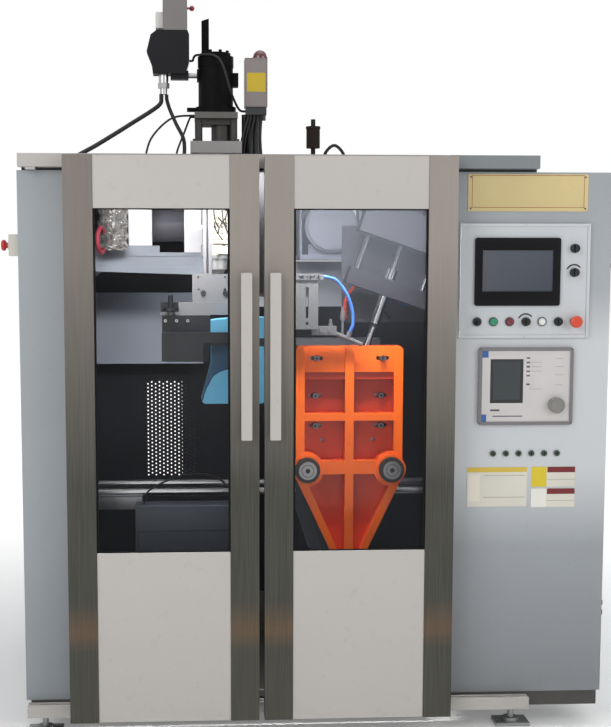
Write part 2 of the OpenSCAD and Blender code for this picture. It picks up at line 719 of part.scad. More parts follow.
module valve_manifold() {
  color("#303336") place() {
    slab(head_y - 34, head_y + 34) translate([mani_x, mani_z])
      polygon([[-42, 147], [63, 147], [69, 133], [69, 43], [56, 0], [-56, 0], [-60, 32], [-77, 75], [-63, 131]]);
    // rod fitting to the actuator
    cyl_x(mani_x + 60, head_x - 65 - seat_gap, head_y, mani_z - 2, 9);
    box(mani_x + 4, mani_x + 66, head_y - 22, head_y + 22, mani_z - 16, mani_z + 12);
    cyl_z(mani_x + 44, head_y, mani_z + 12, mani_z + 34, 11);
    cyl_z(hose_x, head_y, mani_z - 30, mani_z + 8, 17);
    translate([hose_x, head_y, mani_z - 46]) cylinder(h = 18, r = 20, $fn = 6);
    cyl_z(hose_x, head_y, mani_z - 66, mani_z - 44, 13);
  }
}
module servo_valve() {
  color("#b9bcbc") place() {
    slab(head_y - 32, head_y + 32) translate([mani_x - 21, mani_top]) rounded(84, 105, 9);
    box(mani_x - 46, mani_x - 20, head_y - 18, head_y + 18, mani_top + 8, mani_top + 62);
    cyl_x(mani_x + 62, mani_x + 72, head_y, mani_top + 78, 4);
    translate([mani_x + 79, head_y, mani_top + 78]) sphere(r = 9);
    for (y = [-24, 24]) cyl_z(mani_x + 21, head_y + y, mani_top + 104, mani_top + 105, 4);
  }
}
module terminal_box() {
  color("#a39c96") place() {
    difference() {
      slab(head_y - 30, head_y + 30) translate([-26, act_z + 22]) rounded(79, 166, 4);
      box(-23, 50, head_y - 31, head_y - 28, act_z + 25, act_z + 185);
    }
    box(-23 + seat_gap, 50 - seat_gap, head_y - 29, head_y - 20, act_z + 25 + seat_gap, act_z + 185 - seat_gap);
    // dark gland plate and the cable post down to the roof
    box(-22, 50, head_y - 26, head_y + 26, act_z - 4, act_z + 23);
    cyl_z(40, head_y - 10, act_z - 22, act_z, 8);
    cyl_z(-8, head_y, header_z1, act_z, 15);
    cyl_z(18, head_y + 6, header_z1, act_z, 13);
    cyl_z(-24, head_y + 14, header_z1, act_z, 11);
    box(-36, 34, head_y - 20, head_y + 26, header_z1, header_z1 + 12);
  }
}
module alarm_lamp() {
  color("#8c1b22") place() {
    cyl_z(29, head_y, act_z + 188, act_z + 194, 27);
    difference() {
      translate([29, head_y, act_z + 194 - e]) sphere(r = 25);
      cyl_z(29, head_y, act_z + 100, act_z + 194 - 2 * e, 40);
    }
  }
}
module exhaust_silencer() {
  color("#6a3f2e") place() {
    cyl_z(219, 700, header_z1, header_z1 + 79, 8);
    translate([219, 700, header_z1 + 12]) cylinder(h = 14, r = 17, $fn = 6);
    cyl_z(219, 700, header_z1 + 78, header_z1 + 146, 24);
    cyl_z(219, 700, header_z1 + 145, header_z1 + 153, 25.5);
    cyl_z(219, 700, header_z1 + 152, header_z1 + 178, 8);
  }
}
mouth_z = mani_z - 66;
flange_l = head_x - 74;
roof_z = header_z1 + 0.3;
module top_hoses() {
  color("#26282a") place() {
    // two branches from the return fitting, side by side in its foot
    hose([[hose_x - 8, head_y - 10, mouth_z - 0.3], [hose_x - 8, head_y - 10, mouth_z - 14], [hose_x - 20, 622, mouth_z - 44],
      [-420, 545, roof_z + 138], [-520, 452, roof_z + 64], [-590, 390, roof_z + 16], [-590, 390, roof_z]],
      8, [0, 0.6, 0.8]);
    hose([[hose_x + 10, head_y + 6, mouth_z - 0.3], [hose_x + 10, head_y + 6, mouth_z - 14], [hose_x + 20, 640, mouth_z - 50],
      [hose_x + 42, 605, roof_z + 150], [-236, 560, roof_z + 88], [-236, 538, roof_z + 16], [-236, 538, roof_z]], 7, [1, 0, 0]);
    // thin hoses from the roof to the flange
    hose([[-368, 500, roof_z], [-368, 500, roof_z + 12], [-345, 505, roof_z + 90], [-280, 520, roof_z + 156],
      [flange_l - 14, 600, flange_z + 10], [flange_l - 0.3, 600, flange_z + 10]], 3.5, [0, 0.1, 1]);
    hose([[-263, 500, roof_z], [-263, 500, roof_z + 12], [-258, 510, roof_z + 50], [-236, 550, roof_z + 110],
      [flange_l - 14, 612, flange_z + 6], [flange_l - 0.3, 612, flange_z + 6]], 3.5, [0, 0.1, 1]);
    // signal hose over the actuator to the terminal box
    hose([[mani_x + 69.4, head_y - 12, mani_z + 46], [mani_x + 80, head_y - 12, mani_z + 46], [mani_x + 96, 610, mani_z + 62],
      [head_x + 10, 560, mani_z + 42], [head_x + 50, 556, act_z + 62], [-50, 600, act_z + 16], [-34, 632, act_z + 8],
      [-22.4, 632, act_z + 8]], 4.5, [0, 0.8, 0.6]);
    // short loop near the silencer
    hose([[254, 700, roof_z], [254, 700, roof_z + 12], [262, 700, roof_z + 60], [294, 700, roof_z + 88],
      [326, 700, roof_z + 60], [334, 700, roof_z + 12], [334, 700, roof_z]], 6, [0, 1, 0]);
  }
}

// extruder and its drive
feed_y = rear_y + 130;
groove_step = (rear_y + 60 - head_y - 442) / 6;
module extruder_barrel() {
  color("#b7b9b9") place() {
    cyl_y(head_x, head_y + 110, belt_y - 1, axis_z, 40);
    difference() {
      cyl_y(head_x, head_y + 320, rear_y + 60, axis_z, barrel_cover_r);
      for (k = [0 : 6]) translate([head_x, head_y + 352 + k * groove_step, axis_z]) rotate([-90, 0, 0]) difference() {
        cylinder(h = 10, r = barrel_cover_r + 5);
        cylinder(h = 10, r = barrel_cover_r - 3);
      }
    }
    box(head_x - 48, head_x + 48, feed_y - 50, feed_y + 50, axis_z - 50, axis_z + 62);
  }
}
module hopper() {
  color("#c4c6c6") place() {
    translate([head_x, feed_y, axis_z + 62 + seat_gap]) rotate_extrude()
      polygon([[26, 0], [44, 0], [44, 6], [30, 6], [30, 40], [120, 150], [120, 235], [117, 235], [117, 151], [26, 41]]);
  }
}
module extruder_gearbox() {
  color("#5e7683") place() {
    // belt cover between the motor and the gear unit
    slab(belt_y, belt_y + belt_t) union() {
      translate([head_x, axis_z]) circle(130);
      translate([motor_x, motor_z]) circle(100);
      polygon([[head_x - 14, axis_z + 129], [motor_x - 10, motor_z + 99], [motor_x + 12, motor_z - 99], [head_x + 14, axis_z - 129]]);
    }
    difference() {
      slab(belt_y + belt_t - e, gear_end - 30) translate([head_x - 125, gear_z0 + seat_gap]) rounded(250, 340, 24);
      for (k = [0 : 3]) for (s = [-1, 1])
        box(s > 0 ? head_x + 113 : head_x - 126, s > 0 ? head_x + 126 : head_x - 113,
          belt_y + belt_t + 20, gear_end - 60, gear_z0 + 50 + k * 66, gear_z0 + 80 + k * 66);
    }
    cyl_y(head_x, gear_end - 31, gear_end, axis_z, 60);
  }
}
module extruder_motor() {
  color("#8f979b") place() {
    difference() {
      cyl_y(motor_x, motor_y0, belt_y - seat_gap, motor_z, motor_r);
      for (k = [0 : 11]) translate([motor_x, motor_y0, motor_z]) rotate([0, k * 30 + 15, 0])
        translate([motor_r - 7, 40, -3]) cube([12, 300, 6]);
    }
    cyl_y(motor_x, motor_y0 - 14, motor_y0 + e, motor_z, motor_r - 10);
    box(motor_x - 90, motor_x + 90, motor_y0 + 28, motor_y0 + 298, motor_z - motor_r - 8, motor_z - 70);
    // platform under the motor and its two hangers
    box(motor_x - 125, motor_x + 125, motor_y0 + 8, rear_y + 190, motor_z - motor_r - 28, motor_z - motor_r - 8 + e);
    for (s = [-1, 1]) box(motor_x + s * 120 - 5, motor_x + s * 120 + 5, motor_y0 + 28, motor_y0 + 118, motor_z - motor_r - 28, top_z0);
  }
}

// inner supports
back_sheet_y = rear_y - 108;
module head_support() {
  color("#76838d") place() {
    // pressed beam with a sloping web
    difference() {
      slab(hang_y3, hang_y3 + 60) polygon([[inner_l + weld, hang_z - 92], [-170, hang_z - 108], [-170, hang_z - 25],
        [-330, hang_z - 25], [-330, hang_z], [inner_l + weld, hang_z]]);
      box(inner_l + 40, -200, hang_y3 - 1, hang_y3 + 6, hang_z - 78, hang_z - 40);
    }
    // gusset to the left wall
    slab(hang_y3 + 61, hang_y3 + 69) polygon([[inner_l + weld, hang_z - 190], [inner_l + 130, hang_z - 92],
      [inner_l + 130, hang_z - 10], [inner_l + weld, hang_z - 10]]);
    box(inner_l + weld, inner_l + 130, hang_y3 + 58, hang_y3 + 62, hang_z - 90, hang_z - 10);
    // two white columns up to the roof beam
    box(-443, -357, hang_y3 + 5, hang_y3 + 55, hang_z - e, top_z0);
    box(-238, -170, hang_y3 + 5, hang_y3 + 55, hang_z - 25 - e, top_z0);
    for (x = [-425, -375, -220, -186]) cyl_y(x, hang_y3 + 1, hang_y3 + 6, hang_z + 20, 6);
    // inner back sheet between the top beams and the rails, carried by the rear sheet
    box(inner_l + 1, -165, back_sheet_y, back_sheet_y + sheet_t, hang_z - 470, hang_z - 180);
    for (x = [inner_l + 20, -190]) box(x, x + 12, back_sheet_y + 2, rear_y + seat_gap, hang_z - 330, hang_z - 318);
  }
}
module drum_and_duct() {
  color("#4a4d52") place() {
    // dark drum between the columns, on a saddle
    cyl_x(-470, -226, 1110, drum_z, 62);
    cyl_x(-478, -218, 1110, drum_z, 48);
    for (x = [-420, -280]) box(x, x + 24, 1090, 1130, drum_z + 50, top_z1 - weld);
    for (x = [-420, -280]) box(x, x + 24, 1090, hang_y4 - weld, top_z0 + 10, top_z0 + 30);
    // foil covered duct in the upper left corner
    for (k = [0 : 4]) cyl_z(-495, 828, duct_z + k * 28, duct_z + k * 28 + 22, 58);
    cyl_z(-495, 828, duct_z - 8, top_z1 - weld, 52);
    // red ring in front of it
    translate([-532, 740, duct_z + 28]) rotate([90, 0, 76]) rotate_extrude() translate([44, 0]) circle(8);
    box(-560, -545, 738, 800, duct_z + 42, duct_z + 54);
  }
}
module rail_bracket(x0, x1, y) {
  difference() {
    box(x0, x1, y - 34, y + 34, rail_z - bracket_h, rail_z + bracket_h + 5);
    cyl_x(x0 - 1, x1 + 1, y, rail_z, rail_r + 0.1);
  }
}
module carriage_rails() {
  color("#c7cacc") place() {
    for (y = [rail_y1, rail_y2]) {
      cyl_x(frame_l + 8, main_r - 8, y, rail_z, rail_r);
      rail_bracket(frame_l + 10, inner_l - 4, y);
      rail_bracket(inner_r + 4, main_r - 10, y);
    }
    // long end support under the front rail
    box(inner_l + weld, -389, rail_y1 - 22, rail_y1 + 22, rail_z - 57, rail_z - rail_r - 1);
    box(inner_l - 4 + e, -389, rail_y1 - 8, rail_y1 + 8, rail_z - rail_r - 2, rail_z - rail_r - 0.1);
  }
}
module valve_chest() {
  color("#3b444d") place() {
    difference() {
      box(-398, -70, 200, 300, pan_z1, 720);
      box(-392, -76, 199, 203, 150, 640);
    }
    box(-388, -80, 200.5, 206, 154, 636);
    for (z = [260, 520]) cyl_z(-396, 199, z, z + 34, 3);
  }
}

// take-out unit and the container it holds
module takeout_unit() {
  color("#b9babb") place() translate([0, 0, bar_z]) {
    // column under the roof, hidden by the door stiles, and the cross bar
    box(-50, 50, front_y + beam_w + weld, 302, 30, top_z1 - bar_z - weld);
    box(-211, 200, 302 - e, 330, 17, 77);
    // lifting guide beside the head
    difference() {
      box(-175, -147, 302, 330, 77 - e, top_z1 - bar_z - weld);
      box(-164, -158, 301, 306, 90, top_z1 - bar_z - 20);
    }
    // left plate with six holes
    difference() {
      box(-211, -60, 290, 302, 0, 91);
      for (p = [[-191, 81, 3.5], [-104, 81, 3.5], [-191, 42, 3.5], [-104, 42, 3.5], [-175, 26, 6.5], [-104, 26, 6.5]])
        cyl_y(p[0], 289, 303, p[1], p[2]);
    }
    // right plate with a long slot
    difference() {
      box(60, 200, 290, 302, -89, 92);
      box(159, 168, 289, 303, -48.5, 44.5);
      for (z = [-48.5, 44.5]) cyl_y(163.5, 289, 303, z, 4.5);
      cyl_y(163.5, 289, 303, -70, 5);
    }
    difference() {
      box(60, 216, 284, 290 + e, 72, 92);
      for (k = [0 : 5]) cyl_y(74 + k * 22, 283, 291, 82, 3.5);
    }
    // bar under the left plate
    box(-314, -60, 286, 302, -41, e);
    // clamping lever in front of the bar
    cyl_z(-281, 262, -28, -17, 25);
    cyl_z(-281, 262, -41, 23, 8);
    // gripper block with its arms
    slab(262, 310) polygon([[-309, -41 + e], [-309, -153], [-296, -165], [-296, -192], [-160, -192], [-160, -165],
      [-153.5, -153], [-153.5, -41 + e]]);
    box(-309, -176, 180, 263, -179, -149);
    box(-190, -62, 180, 194, -128, -93);
    box(-309, -176, 180, 194, -185, -93);
    for (k = [0 : 5]) cyl_y(-292 + k * 22, 176, 181, -165, 4);
    cyl_y(-280, 172, 181, -113, 9);
    // air nozzle on a bracket under the right plate
    box(180, 262, 306, 322, -109, -79);
    box(182, 199, 301, 307, -88, -75);
    translate([250, 326, -99]) rotate([0, 113, 0]) cylinder(h = 108, r = 7);
    translate([300, 326, -120]) rotate([0, 23, 0]) cylinder(h = 24, r = 8);
    for (x = [212, 240]) cyl_y(x, 298, 307, -93, 7);
    // fittings on the bracket and on the nozzle
    cyl_z(243, 314, -80, -72, 8);
    cyl_z(243, 314, -73, -56, 5);
    cyl_z(284, 326, -113, -58, 4);
    cyl_z(284, 326, -60, -32, 8);
    cyl_z(284, 326, -33, -17, 5);
  }
}
// the container hangs in the gripper; its front is set back above the lower lobe
module moulded_container() {
  color("#7fb4cc") place() translate([0, 0, bar_z]) difference() {
    slab(194 + seat_gap, 326) polygon([[-153, -55], [-40, -43], [26, -49], [26, -309], [12, -323], [-172, -323],
      [-184, -315], [-153, -195]]);
    slab(190, 236) polygon([[-210, -160], [-158, -160], [-150, -141], [-135, -135], [-40, -135], [-40, -190],
      [-96, -210], [-123, -218], [-147, -234], [-169, -275], [-181, -316], [-210, -330]]);
  }
}

// blow pin unit
blow_plate_z1 = tip_z + 429;
module blow_frame() {
  color("#3f4347") place() {
    // guide block with the cylinder on top
    pin_axis() difference() {
      union() {
        translate([-165, -52, 375]) cube([330, 104, 120]);
        translate([0, 0, 494]) cylinder(h = 66, r = 34);
        for (s = [-1, 1]) translate([s * guide_u, 0, 366]) cylinder(h = 10, r = 24);
      }
      translate([0, 0, 370]) cylinder(h = 160, r = guide_r + run_gap);
      for (s = [-1, 1]) translate([s * guide_u, 0, 360]) cylinder(h = 140, r = guide_r + run_gap);
    }
    // rear mounting plate hung from the roof beams
    box(338, 680, 815, 830, blow_plate_z1 - 351, blow_plate_z1);
    box(430, 640, 701, 816, blow_plate_z1 - 21, blow_plate_z1 - 1);
    for (x = [440, 620]) box(x, x + 12, 701, 760, blow_plate_z1 - 2, top_z0 - weld);
    for (x = [360, 500, 640]) for (z = [321, 181]) cyl_y(x, 808, 816, blow_plate_z1 - z, 9);
  }
}
module blow_pin() {
  color("#d5d7d9") place() {
    pin_axis() difference() {
      union() {
        cylinder(h = 74, r = 12);
        translate([0, 0, 72]) cylinder(h = 14, r = 14);
        translate([0, 0, 84]) cylinder(h = 106, r = mandrel_r);
        translate([-150, -40, 187]) cube([300, 80, 59]);
        translate([0, 0, 244]) cylinder(h = 40, r = 24);
        cylinder(h = 470, r = guide_r);
        for (s = [-1, 1]) translate([s * guide_u, 0, 245]) cylinder(h = 290, r = guide_r);
      }
      translate([0, 0, -1]) cylinder(h = 90, r = 5);
    }
  }
}
module air_hoses() {
  color("#4a7fd0") place() {
    // blue hose from the top strip to the nozzle
    hose([[216.3, 287, 1457], [228, 287, 1457], [262, 300, 1444], [296, 310, 1400], [316, 322, 1345], [317.3, 326, 1295.8],
      [309.7, 326, 1277.9]], 5.5, [0, 1, 0]);
    // red hose on the rear plate of the blow pin unit
    hose([[400, 814.6, 1430], [400, 803, 1430], [385, 788, 1424], [352, 780, 1385], [346, 786, 1330], [352, 803, 1305],
      [352, 814.6, 1305]], 5.5, [1, 0.1, 0.3]);
    // thin hose over the valve chest
    hose([[-372, 250, 720.3], [-372, 250, 730], [-350, 250, 768], [-250, 250, 812], [-150, 250, 812], [-95, 250, 770],
      [-82, 250, 730], [-82, 250, 720.3]], 3, [0, 1, 0]);
  }
}

// carriage, platens and moulds
module wall_shape() {
  difference() {
    polygon([[clamp_x - 178, table_z0 + 7], [clamp_x - 178, ram_z + 110], [clamp_x - 140, ram_z + 150],
      [clamp_x + 140, ram_z + 150], [clamp_x + 178, ram_z + 110], [clamp_x + 178, table_z0 + 7],
      [clamp_x + 60, low_tie_z - 42], [clamp_x - 60, low_tie_z - 42]]);
    for (s = [-1, 1]) translate([clamp_x + s * tie_dx, tie_z]) circle(tie_r + run_gap);
    translate([clamp_x, low_tie_z]) circle(tie_r + run_gap);
    translate([clamp_x, ram_z]) circle(ram_r + run_gap);
    polygon([[clamp_x - 90, low_tie_z + 270], [clamp_x + 90, low_tie_z + 270], [clamp_x + 42, low_tie_z + 80],
      [clamp_x - 42, low_tie_z + 80]]);
  }
}
module carriage_frame() {
  color("#59636b") place() {
    difference() {
      union() {
        box(clamp_x - 172, clamp_x + 172, 545, wall_y + 1, table_z0, table_z0 + table_t);
        for (s = [-1, 1]) for (y = [rail_y1, rail_y2])
          box(clamp_x + s * 130 - 34, clamp_x + s * 130 + 34, y - 27, y + 27, rail_z - 29, table_z0 + e);
        for (s = [-1, 1]) box(clamp_x + s * tie_dx - 30, clamp_x + s * tie_dx + 30, 600, 650, table_z0, tie_z + 33);
        slab(604, 634) polygon([[clamp_x - 110, table_z0 + e], [clamp_x + 110, table_z0 + e], [clamp_x + 48, low_tie_z - 48],
          [clamp_x - 48, low_tie_z - 48]]);
      }
      for (y = [rail_y1, rail_y2]) cyl_x(clamp_x - 200, clamp_x + 200, y, rail_z, rail_r + run_gap);
      for (s = [-1, 1]) cyl_y(clamp_x + s * tie_dx, 500, 1100, tie_z, tie_r + run_gap);
      cyl_y(clamp_x, 500, 1100, low_tie_z, tie_r + run_gap);
    }
    slab(wall_y, wall_y + wall_t) wall_shape();
    difference() {
      union() {
        cyl_y(clamp_x, wall_y + wall_t - e, ram_end, ram_z, ram_body_r);
        cyl_y(clamp_x, wall_y + wall_t - e, wall_y + wall_t + 24, ram_z, ram_body_r + 16);
      }
      cyl_y(clamp_x, wall_y, ram_end - 8, ram_z, ram_r + run_gap);
    }
  }
}

platen_x0 = clamp_x - platen_w / 2;
platen_x1 = clamp_x + platen_w / 2;
bolt_rows = [platen_top - 40, platen_top - 168, platen_top - 270];
module platen_outline() {
  union() {
    polygon([[platen_x0, tie_z + 30], [platen_x0, platen_top - 10], [platen_x0 + 10, platen_top], [platen_x1 - 10, platen_top],
      [platen_x1, platen_top - 10], [platen_x1, tie_z + 30], [platen_x1 + 8, tie_z], [clamp_x + 165, tie_z - 60],
      [clamp_x + 66, low_tie_z + 124], [clamp_x + 44, low_tie_z + 20], [clamp_x - 44, low_tie_z + 20],
      [clamp_x - 66, low_tie_z + 124], [clamp_x - 165, tie_z - 60], [platen_x0 - 8, tie_z]]);
    translate([clamp_x, low_tie_z]) circle(52);
  }
}
rib_w = 30;
pad_y = platen_y + 9;
bolt_dx = 111;
pocket_w = platen_w / 2 - 1.5 * rib_w;
function pocket_x(s) = s > 0 ? clamp_x + rib_w / 2 : platen_x0 + rib_w;
module front_platen() {
  color("#f0681d") place() {
    difference() {
      union() {
        slab(platen_back - plate_d, platen_back) platen_outline();
        // side ribs, centre rib and shelves round six pockets and the two of the lower legs
        slab(platen_y, platen_back - plate_d + e) difference() {
          platen_outline();
          for (s = [-1, 1]) difference() {
            union() {
              for (p = [[platen_top - 87, 88], [platen_top - 224, 112], [tie_z + 30, platen_top - 280 - tie_z]])
                translate([pocket_x(s), p[0]]) square([pocket_w, p[1]]);
              polygon([[clamp_x + s * rib_w / 2, tie_z - 17], [clamp_x + s * rib_w / 2, low_tie_z + 62],
                [clamp_x + s * (rib_w / 2 + 3), low_tie_z + 62], [clamp_x + s * 48, low_tie_z + 138],
                [clamp_x + s * 137, tie_z - 51], [clamp_x + s * 98, tie_z - 17]]);
            }
            translate([clamp_x + s * tie_dx, tie_z]) circle(58);
          }
        }
        // raised pads of the top row
        for (s = [-1, 1]) box(pocket_x(s) - e, pocket_x(s) + pocket_w + e, pad_y, platen_back - plate_d + e,
          platen_top - 87, platen_top);
        for (s = [-1, 1]) cyl_y(clamp_x + s * tie_dx, platen_y - 6, platen_back, tie_z, 50);
        cyl_y(clamp_x, platen_y - 6, platen_back, low_tie_z, 50);
        // bolt heads across the slots
        for (s = [-1, 1]) for (k = [0 : 2]) let (seat = k == 0 ? pad_y : platen_back - plate_d)
          cyl_y(clamp_x + s * bolt_dx, seat - 10, seat + 1, bolt_rows[k], 10.5);
      }
      for (s = [-1, 1]) cyl_y(clamp_x + s * tie_dx, platen_y - 20, platen_back + 1, tie_z, tie_r + seat_gap);
      cyl_y(clamp_x, platen_y - 20, platen_back + 1, low_tie_z, tie_r + seat_gap);
      // lowered shelf under the pads
      for (s = [-1, 1]) box(pocket_x(s), pocket_x(s) + pocket_w, platen_y - 1, platen_y + 16,
        platen_top - 113, platen_top - 87);
      // slots for the bolts, and the small drilled holes
      for (s = [-1, 1]) for (k = [0 : 2]) slab((k == 0 ? pad_y : platen_back - plate_d) - 1, platen_back + 1)
        translate([clamp_x + s * bolt_dx - 22, bolt_rows[k] - 6.5]) rounded(44, 13, 6.4);
      for (s = [-1, 1]) cyl_y(clamp_x + s * 86, platen_back - plate_d - 1, platen_back + 1, platen_top - 320, 7);
    }
  }
}
module tie_bars() {
  color("#c9ccce") place() {
    for (p = [[clamp_x - tie_dx, tie_z], [clamp_x + tie_dx, tie_z], [clamp_x, low_tie_z]]) {
      cyl_y(p[0], platen_y - 26, yoke_y + yoke_t + 30, p[1], tie_r);
      cyl_y(p[0], platen_y - 32, platen_y - 6, p[1], 30);
      difference() {
        cyl_y(p[0], platen_y - 24, platen_y - 6, p[1], 42);
        cyl_y(p[0], platen_y - 25, platen_y - 5, p[1], 29);
      }
      translate([p[0], yoke_y + yoke_t + seat_gap, p[1]]) rotate([-90, 0, 0]) cylinder(h = 26, r = 40, $fn = 6);
    }
    slab(yoke_y, yoke_y + yoke_t) difference() {
      polygon([[clamp_x - 190, tie_z - 30], [clamp_x - 190, tie_z + 45], [clamp_x - 150, ram_z + 70], [clamp_x + 150, ram_z + 70],
        [clamp_x + 190, tie_z + 45], [clamp_x + 190, tie_z - 30], [clamp_x + 60, low_tie_z - 50], [clamp_x - 60, low_tie_z - 50]]);
      for (p = [[clamp_x - tie_dx, tie_z], [clamp_x + tie_dx, tie_z], [clamp_x, low_tie_z]]) translate(p) circle(tie_r + seat_gap);
      translate([clamp_x, low_tie_z + 270]) circle(70);
    }
  }
}
// flat outline of half the mould cavity
module cavity_shape() {
  union() {
    translate([clamp_x - 80, mould_z0 + 40]) rounded(160, 190, 22);
    polygon([[clamp_x - 80, mould_z0 + 200], [clamp_x - 40, mould_z0 + 262], [clamp_x + 50, mould_z0 + 262], [clamp_x + 80, mould_z0 + 200]]);
  }
}
module mould_block(y0, part_side) {
  difference() {
    box(clamp_x - mould_w / 2, clamp_x + mould_w / 2, y0, y0 + mould_t, mould_z0, mould_z1);
    if (part_side > 0) slab(y0 + mould_t - 65, y0 + mould_t + 1) cavity_shape();
    else slab(y0 - 1, y0 + 65) cavity_shape();
    // neck, on the tilted axis of the blow pin, and cooling channels
    translate([tip_x, part_side > 0 ? y0 + mould_t : y0, tip_z]) rotate([0, pin_tilt, 0])
      translate([0, 0, -130]) cylinder(h = 180, r = 20);
    for (z = [mould_z0 + 20, mould_z1 - 36])
      cyl_x(clamp_x - mould_w / 2 - 1, clamp_x + mould_w / 2 + 1, part_side > 0 ? y0 + 28 : y0 + mould_t - 28, z, 6);
  }
}
mould_open_y = platen_back;
module mould_front() {
  color("#8d9499") place() {
    mould_block(mould_open_y, 1);
    for (s = [-1, 1]) cyl_y(clamp_x + s * (mould_w / 2 - 16), mould_open_y + mould_t - 10, mould_open_y + mould_t + 25, mould_z0 + 60, 8);
  }
}
module middle_platen() {
  color("#f0681d") place() {
    difference() {
      union() {
        slab(mid_y0, mid_y0 + 30) polygon([[platen_x0, mid_z0], [platen_x0, platen_top - 10], [platen_x0 + 10, platen_top],
          [platen_x1 - 10, platen_top], [platen_x1, platen_top - 10], [platen_x1, mid_z0]]);
        slab(mid_y0 + 30 - e, mid_y0 + mid_t) difference() {
          translate([platen_x0, mid_z0]) square([platen_w, platen_top - mid_z0]);
          for (s = [-1, 1]) for (p = [[115, 175], [325, 110]])
            translate([clamp_x + s * 85 - 62, mid_z0 + p[0]]) square([124, p[1]]);
        }
        for (s = [-1, 1]) cyl_y(clamp_x + s * tie_dx, mid_y0, mid_y0 + mid_t, tie_z, tie_r + 16);
        cyl_y(clamp_x, mid_y0 + mid_t - 20, 1162, ram_z, ram_r);
      }
      for (s = [-1, 1]) cyl_y(clamp_x + s * tie_dx, mid_y0 - 1, mid_y0 + mid_t + 1, tie_z, tie_r + run_gap);
    }
  }
}
module mould_rear() {
  color("#8d9499") place() {
    difference() {
      mould_block(mid_y0 - mould_t, -1);
      for (s = [-1, 1]) cyl_y(clamp_x + s * (mould_w / 2 - 16), mid_y0 - mould_t - 1, mid_y0 - mould_t + 28, mould_z0 + 60, 8 + run_gap);
    }
  }
}

machine_frame();
levelling_feet();
door_tracks();
left_front_panel();
control_cabinet();
operator_panel();
touch_screen();
parison_controller();
signal_sockets();
bare_plates();
roof_panel();
rear_panels();
estop_box();
die_head();
heater_bands();
head_mount();
parison_actuator();
valve_manifold();
servo_valve();
terminal_box();
alarm_lamp();
exhaust_silencer();
top_hoses();
extruder_barrel();
hopper();
extruder_gearbox();
extruder_motor();
head_support();
drum_and_duct();
carriage_rails();
valve_chest();
blow_frame();
air_hoses();
takeout_unit();
moulded_container();
left_door_frame();
left_door_panels();
left_door_window();
right_door_frame();
right_door_panels();
right_door_window();
left_side_door();
cabinet_side_door();
carriage_frame();
front_platen();
tie_bars();
mould_front();
middle_platen();
mould_rear();
blow_pin();
key_switch();
green_button();
red_button();
speed_knob();
mode_selector();
panel_estop();
upper_selector();
lower_knob();
controller_knob();
left_estop();
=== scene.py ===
# %% [markdown]
# A single station blow moulding machine. Granules are melted in the extruder at the back, a soft plastic
# tube hangs down from the die head, the clamping unit closes the mould round it and shuttles it to the
# inclined blow pin. The solid model already has every frame, door and bar. This lesson gives those solids
# their edges and finishes, and adds the small things that a workshop eye looks for: screws, seals, wires
# and fittings.

import json
import math
import random

import bmesh
import bpy
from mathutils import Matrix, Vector


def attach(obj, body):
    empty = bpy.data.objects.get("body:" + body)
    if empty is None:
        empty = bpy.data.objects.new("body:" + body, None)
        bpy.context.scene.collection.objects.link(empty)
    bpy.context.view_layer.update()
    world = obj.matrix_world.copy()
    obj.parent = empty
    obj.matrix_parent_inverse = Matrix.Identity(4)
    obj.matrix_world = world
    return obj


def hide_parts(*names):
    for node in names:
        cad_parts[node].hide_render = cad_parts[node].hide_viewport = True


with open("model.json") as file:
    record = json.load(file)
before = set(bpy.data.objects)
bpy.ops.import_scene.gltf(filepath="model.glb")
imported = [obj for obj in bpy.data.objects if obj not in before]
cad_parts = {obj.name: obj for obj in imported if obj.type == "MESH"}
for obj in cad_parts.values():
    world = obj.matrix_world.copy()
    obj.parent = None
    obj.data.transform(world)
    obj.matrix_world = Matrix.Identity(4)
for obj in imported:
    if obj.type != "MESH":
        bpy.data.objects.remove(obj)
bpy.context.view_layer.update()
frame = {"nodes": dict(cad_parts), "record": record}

# %% [markdown]
# All drawings of the machine are in millimetres from the gap between the two sliding doors. One helper
# turns such a place into metres in the shared frame, and another turns an everyday colour into the linear
# values that shaders work with, so that both can be written the way a drawing or a paint card gives them.

# %% Places and colours
GAP_X = 159.5
GAP_Y = 990.5


def at(x, y, z):
    return Vector(((x - GAP_X) / 1000, (y - GAP_Y) / 1000, z / 1000))


def ink(red, green, blue):
    def linear(value):
        value /= 255
        return value / 12.92 if value <= 0.04045 else ((value + 0.055) / 1.055) ** 2.4

    return (linear(red), linear(green), linear(blue), 1.0)


print("gap between the doors:", [round(v, 3) for v in at(0, 0, 0)])

# %% [markdown]
# The camera stands four metres in front of the doors at eye height, a little left of the gap. A long lens
# keeps the stiles upright. The small shift frames the machine as the photograph does, because its picture
# was cut out of a larger one.

# %% Camera
PICTURE_W = 611
PICTURE_H = 727
FOCAL_PX = 1314.57
CENTRE_X = 264.34
CENTRE_Y = 410.29
EYE = at(-219.07, -4000, 1469.7)
YAW = 0.05646
PITCH = 0.10411
lens = bpy.data.cameras.new("camera")
lens.sensor_fit = "VERTICAL"
lens.sensor_height = 24
lens.lens = FOCAL_PX / PICTURE_H * lens.sensor_height
lens.shift_x = (PICTURE_W / 2 - CENTRE_X) / PICTURE_H
lens.shift_y = (CENTRE_Y - PICTURE_H / 2) / PICTURE_H
camera = bpy.data.objects.new("camera", lens)
camera.location = EYE
camera.rotation_euler = (math.pi / 2 - PITCH, 0, -YAW)
bpy.context.scene.collection.objects.link(camera)
bpy.context.scene.camera = camera
print("lens", round(lens.lens, 1), "mm, shift", round(lens.shift_x, 3), round(lens.shift_y, 3))

# %% [markdown]
# A workshop hall lights a machine from all sides. Two large soft lamps in front, one above and one behind
# do the same here, at a level where a painted sheet comes out about as its colour is written. Two small
# strips under the roof light the head and the drive. They stay unseen, because the real machine shows no
# such lamps.

# %% Lamps
scene = bpy.context.scene
scene.view_settings.view_transform = "Standard"


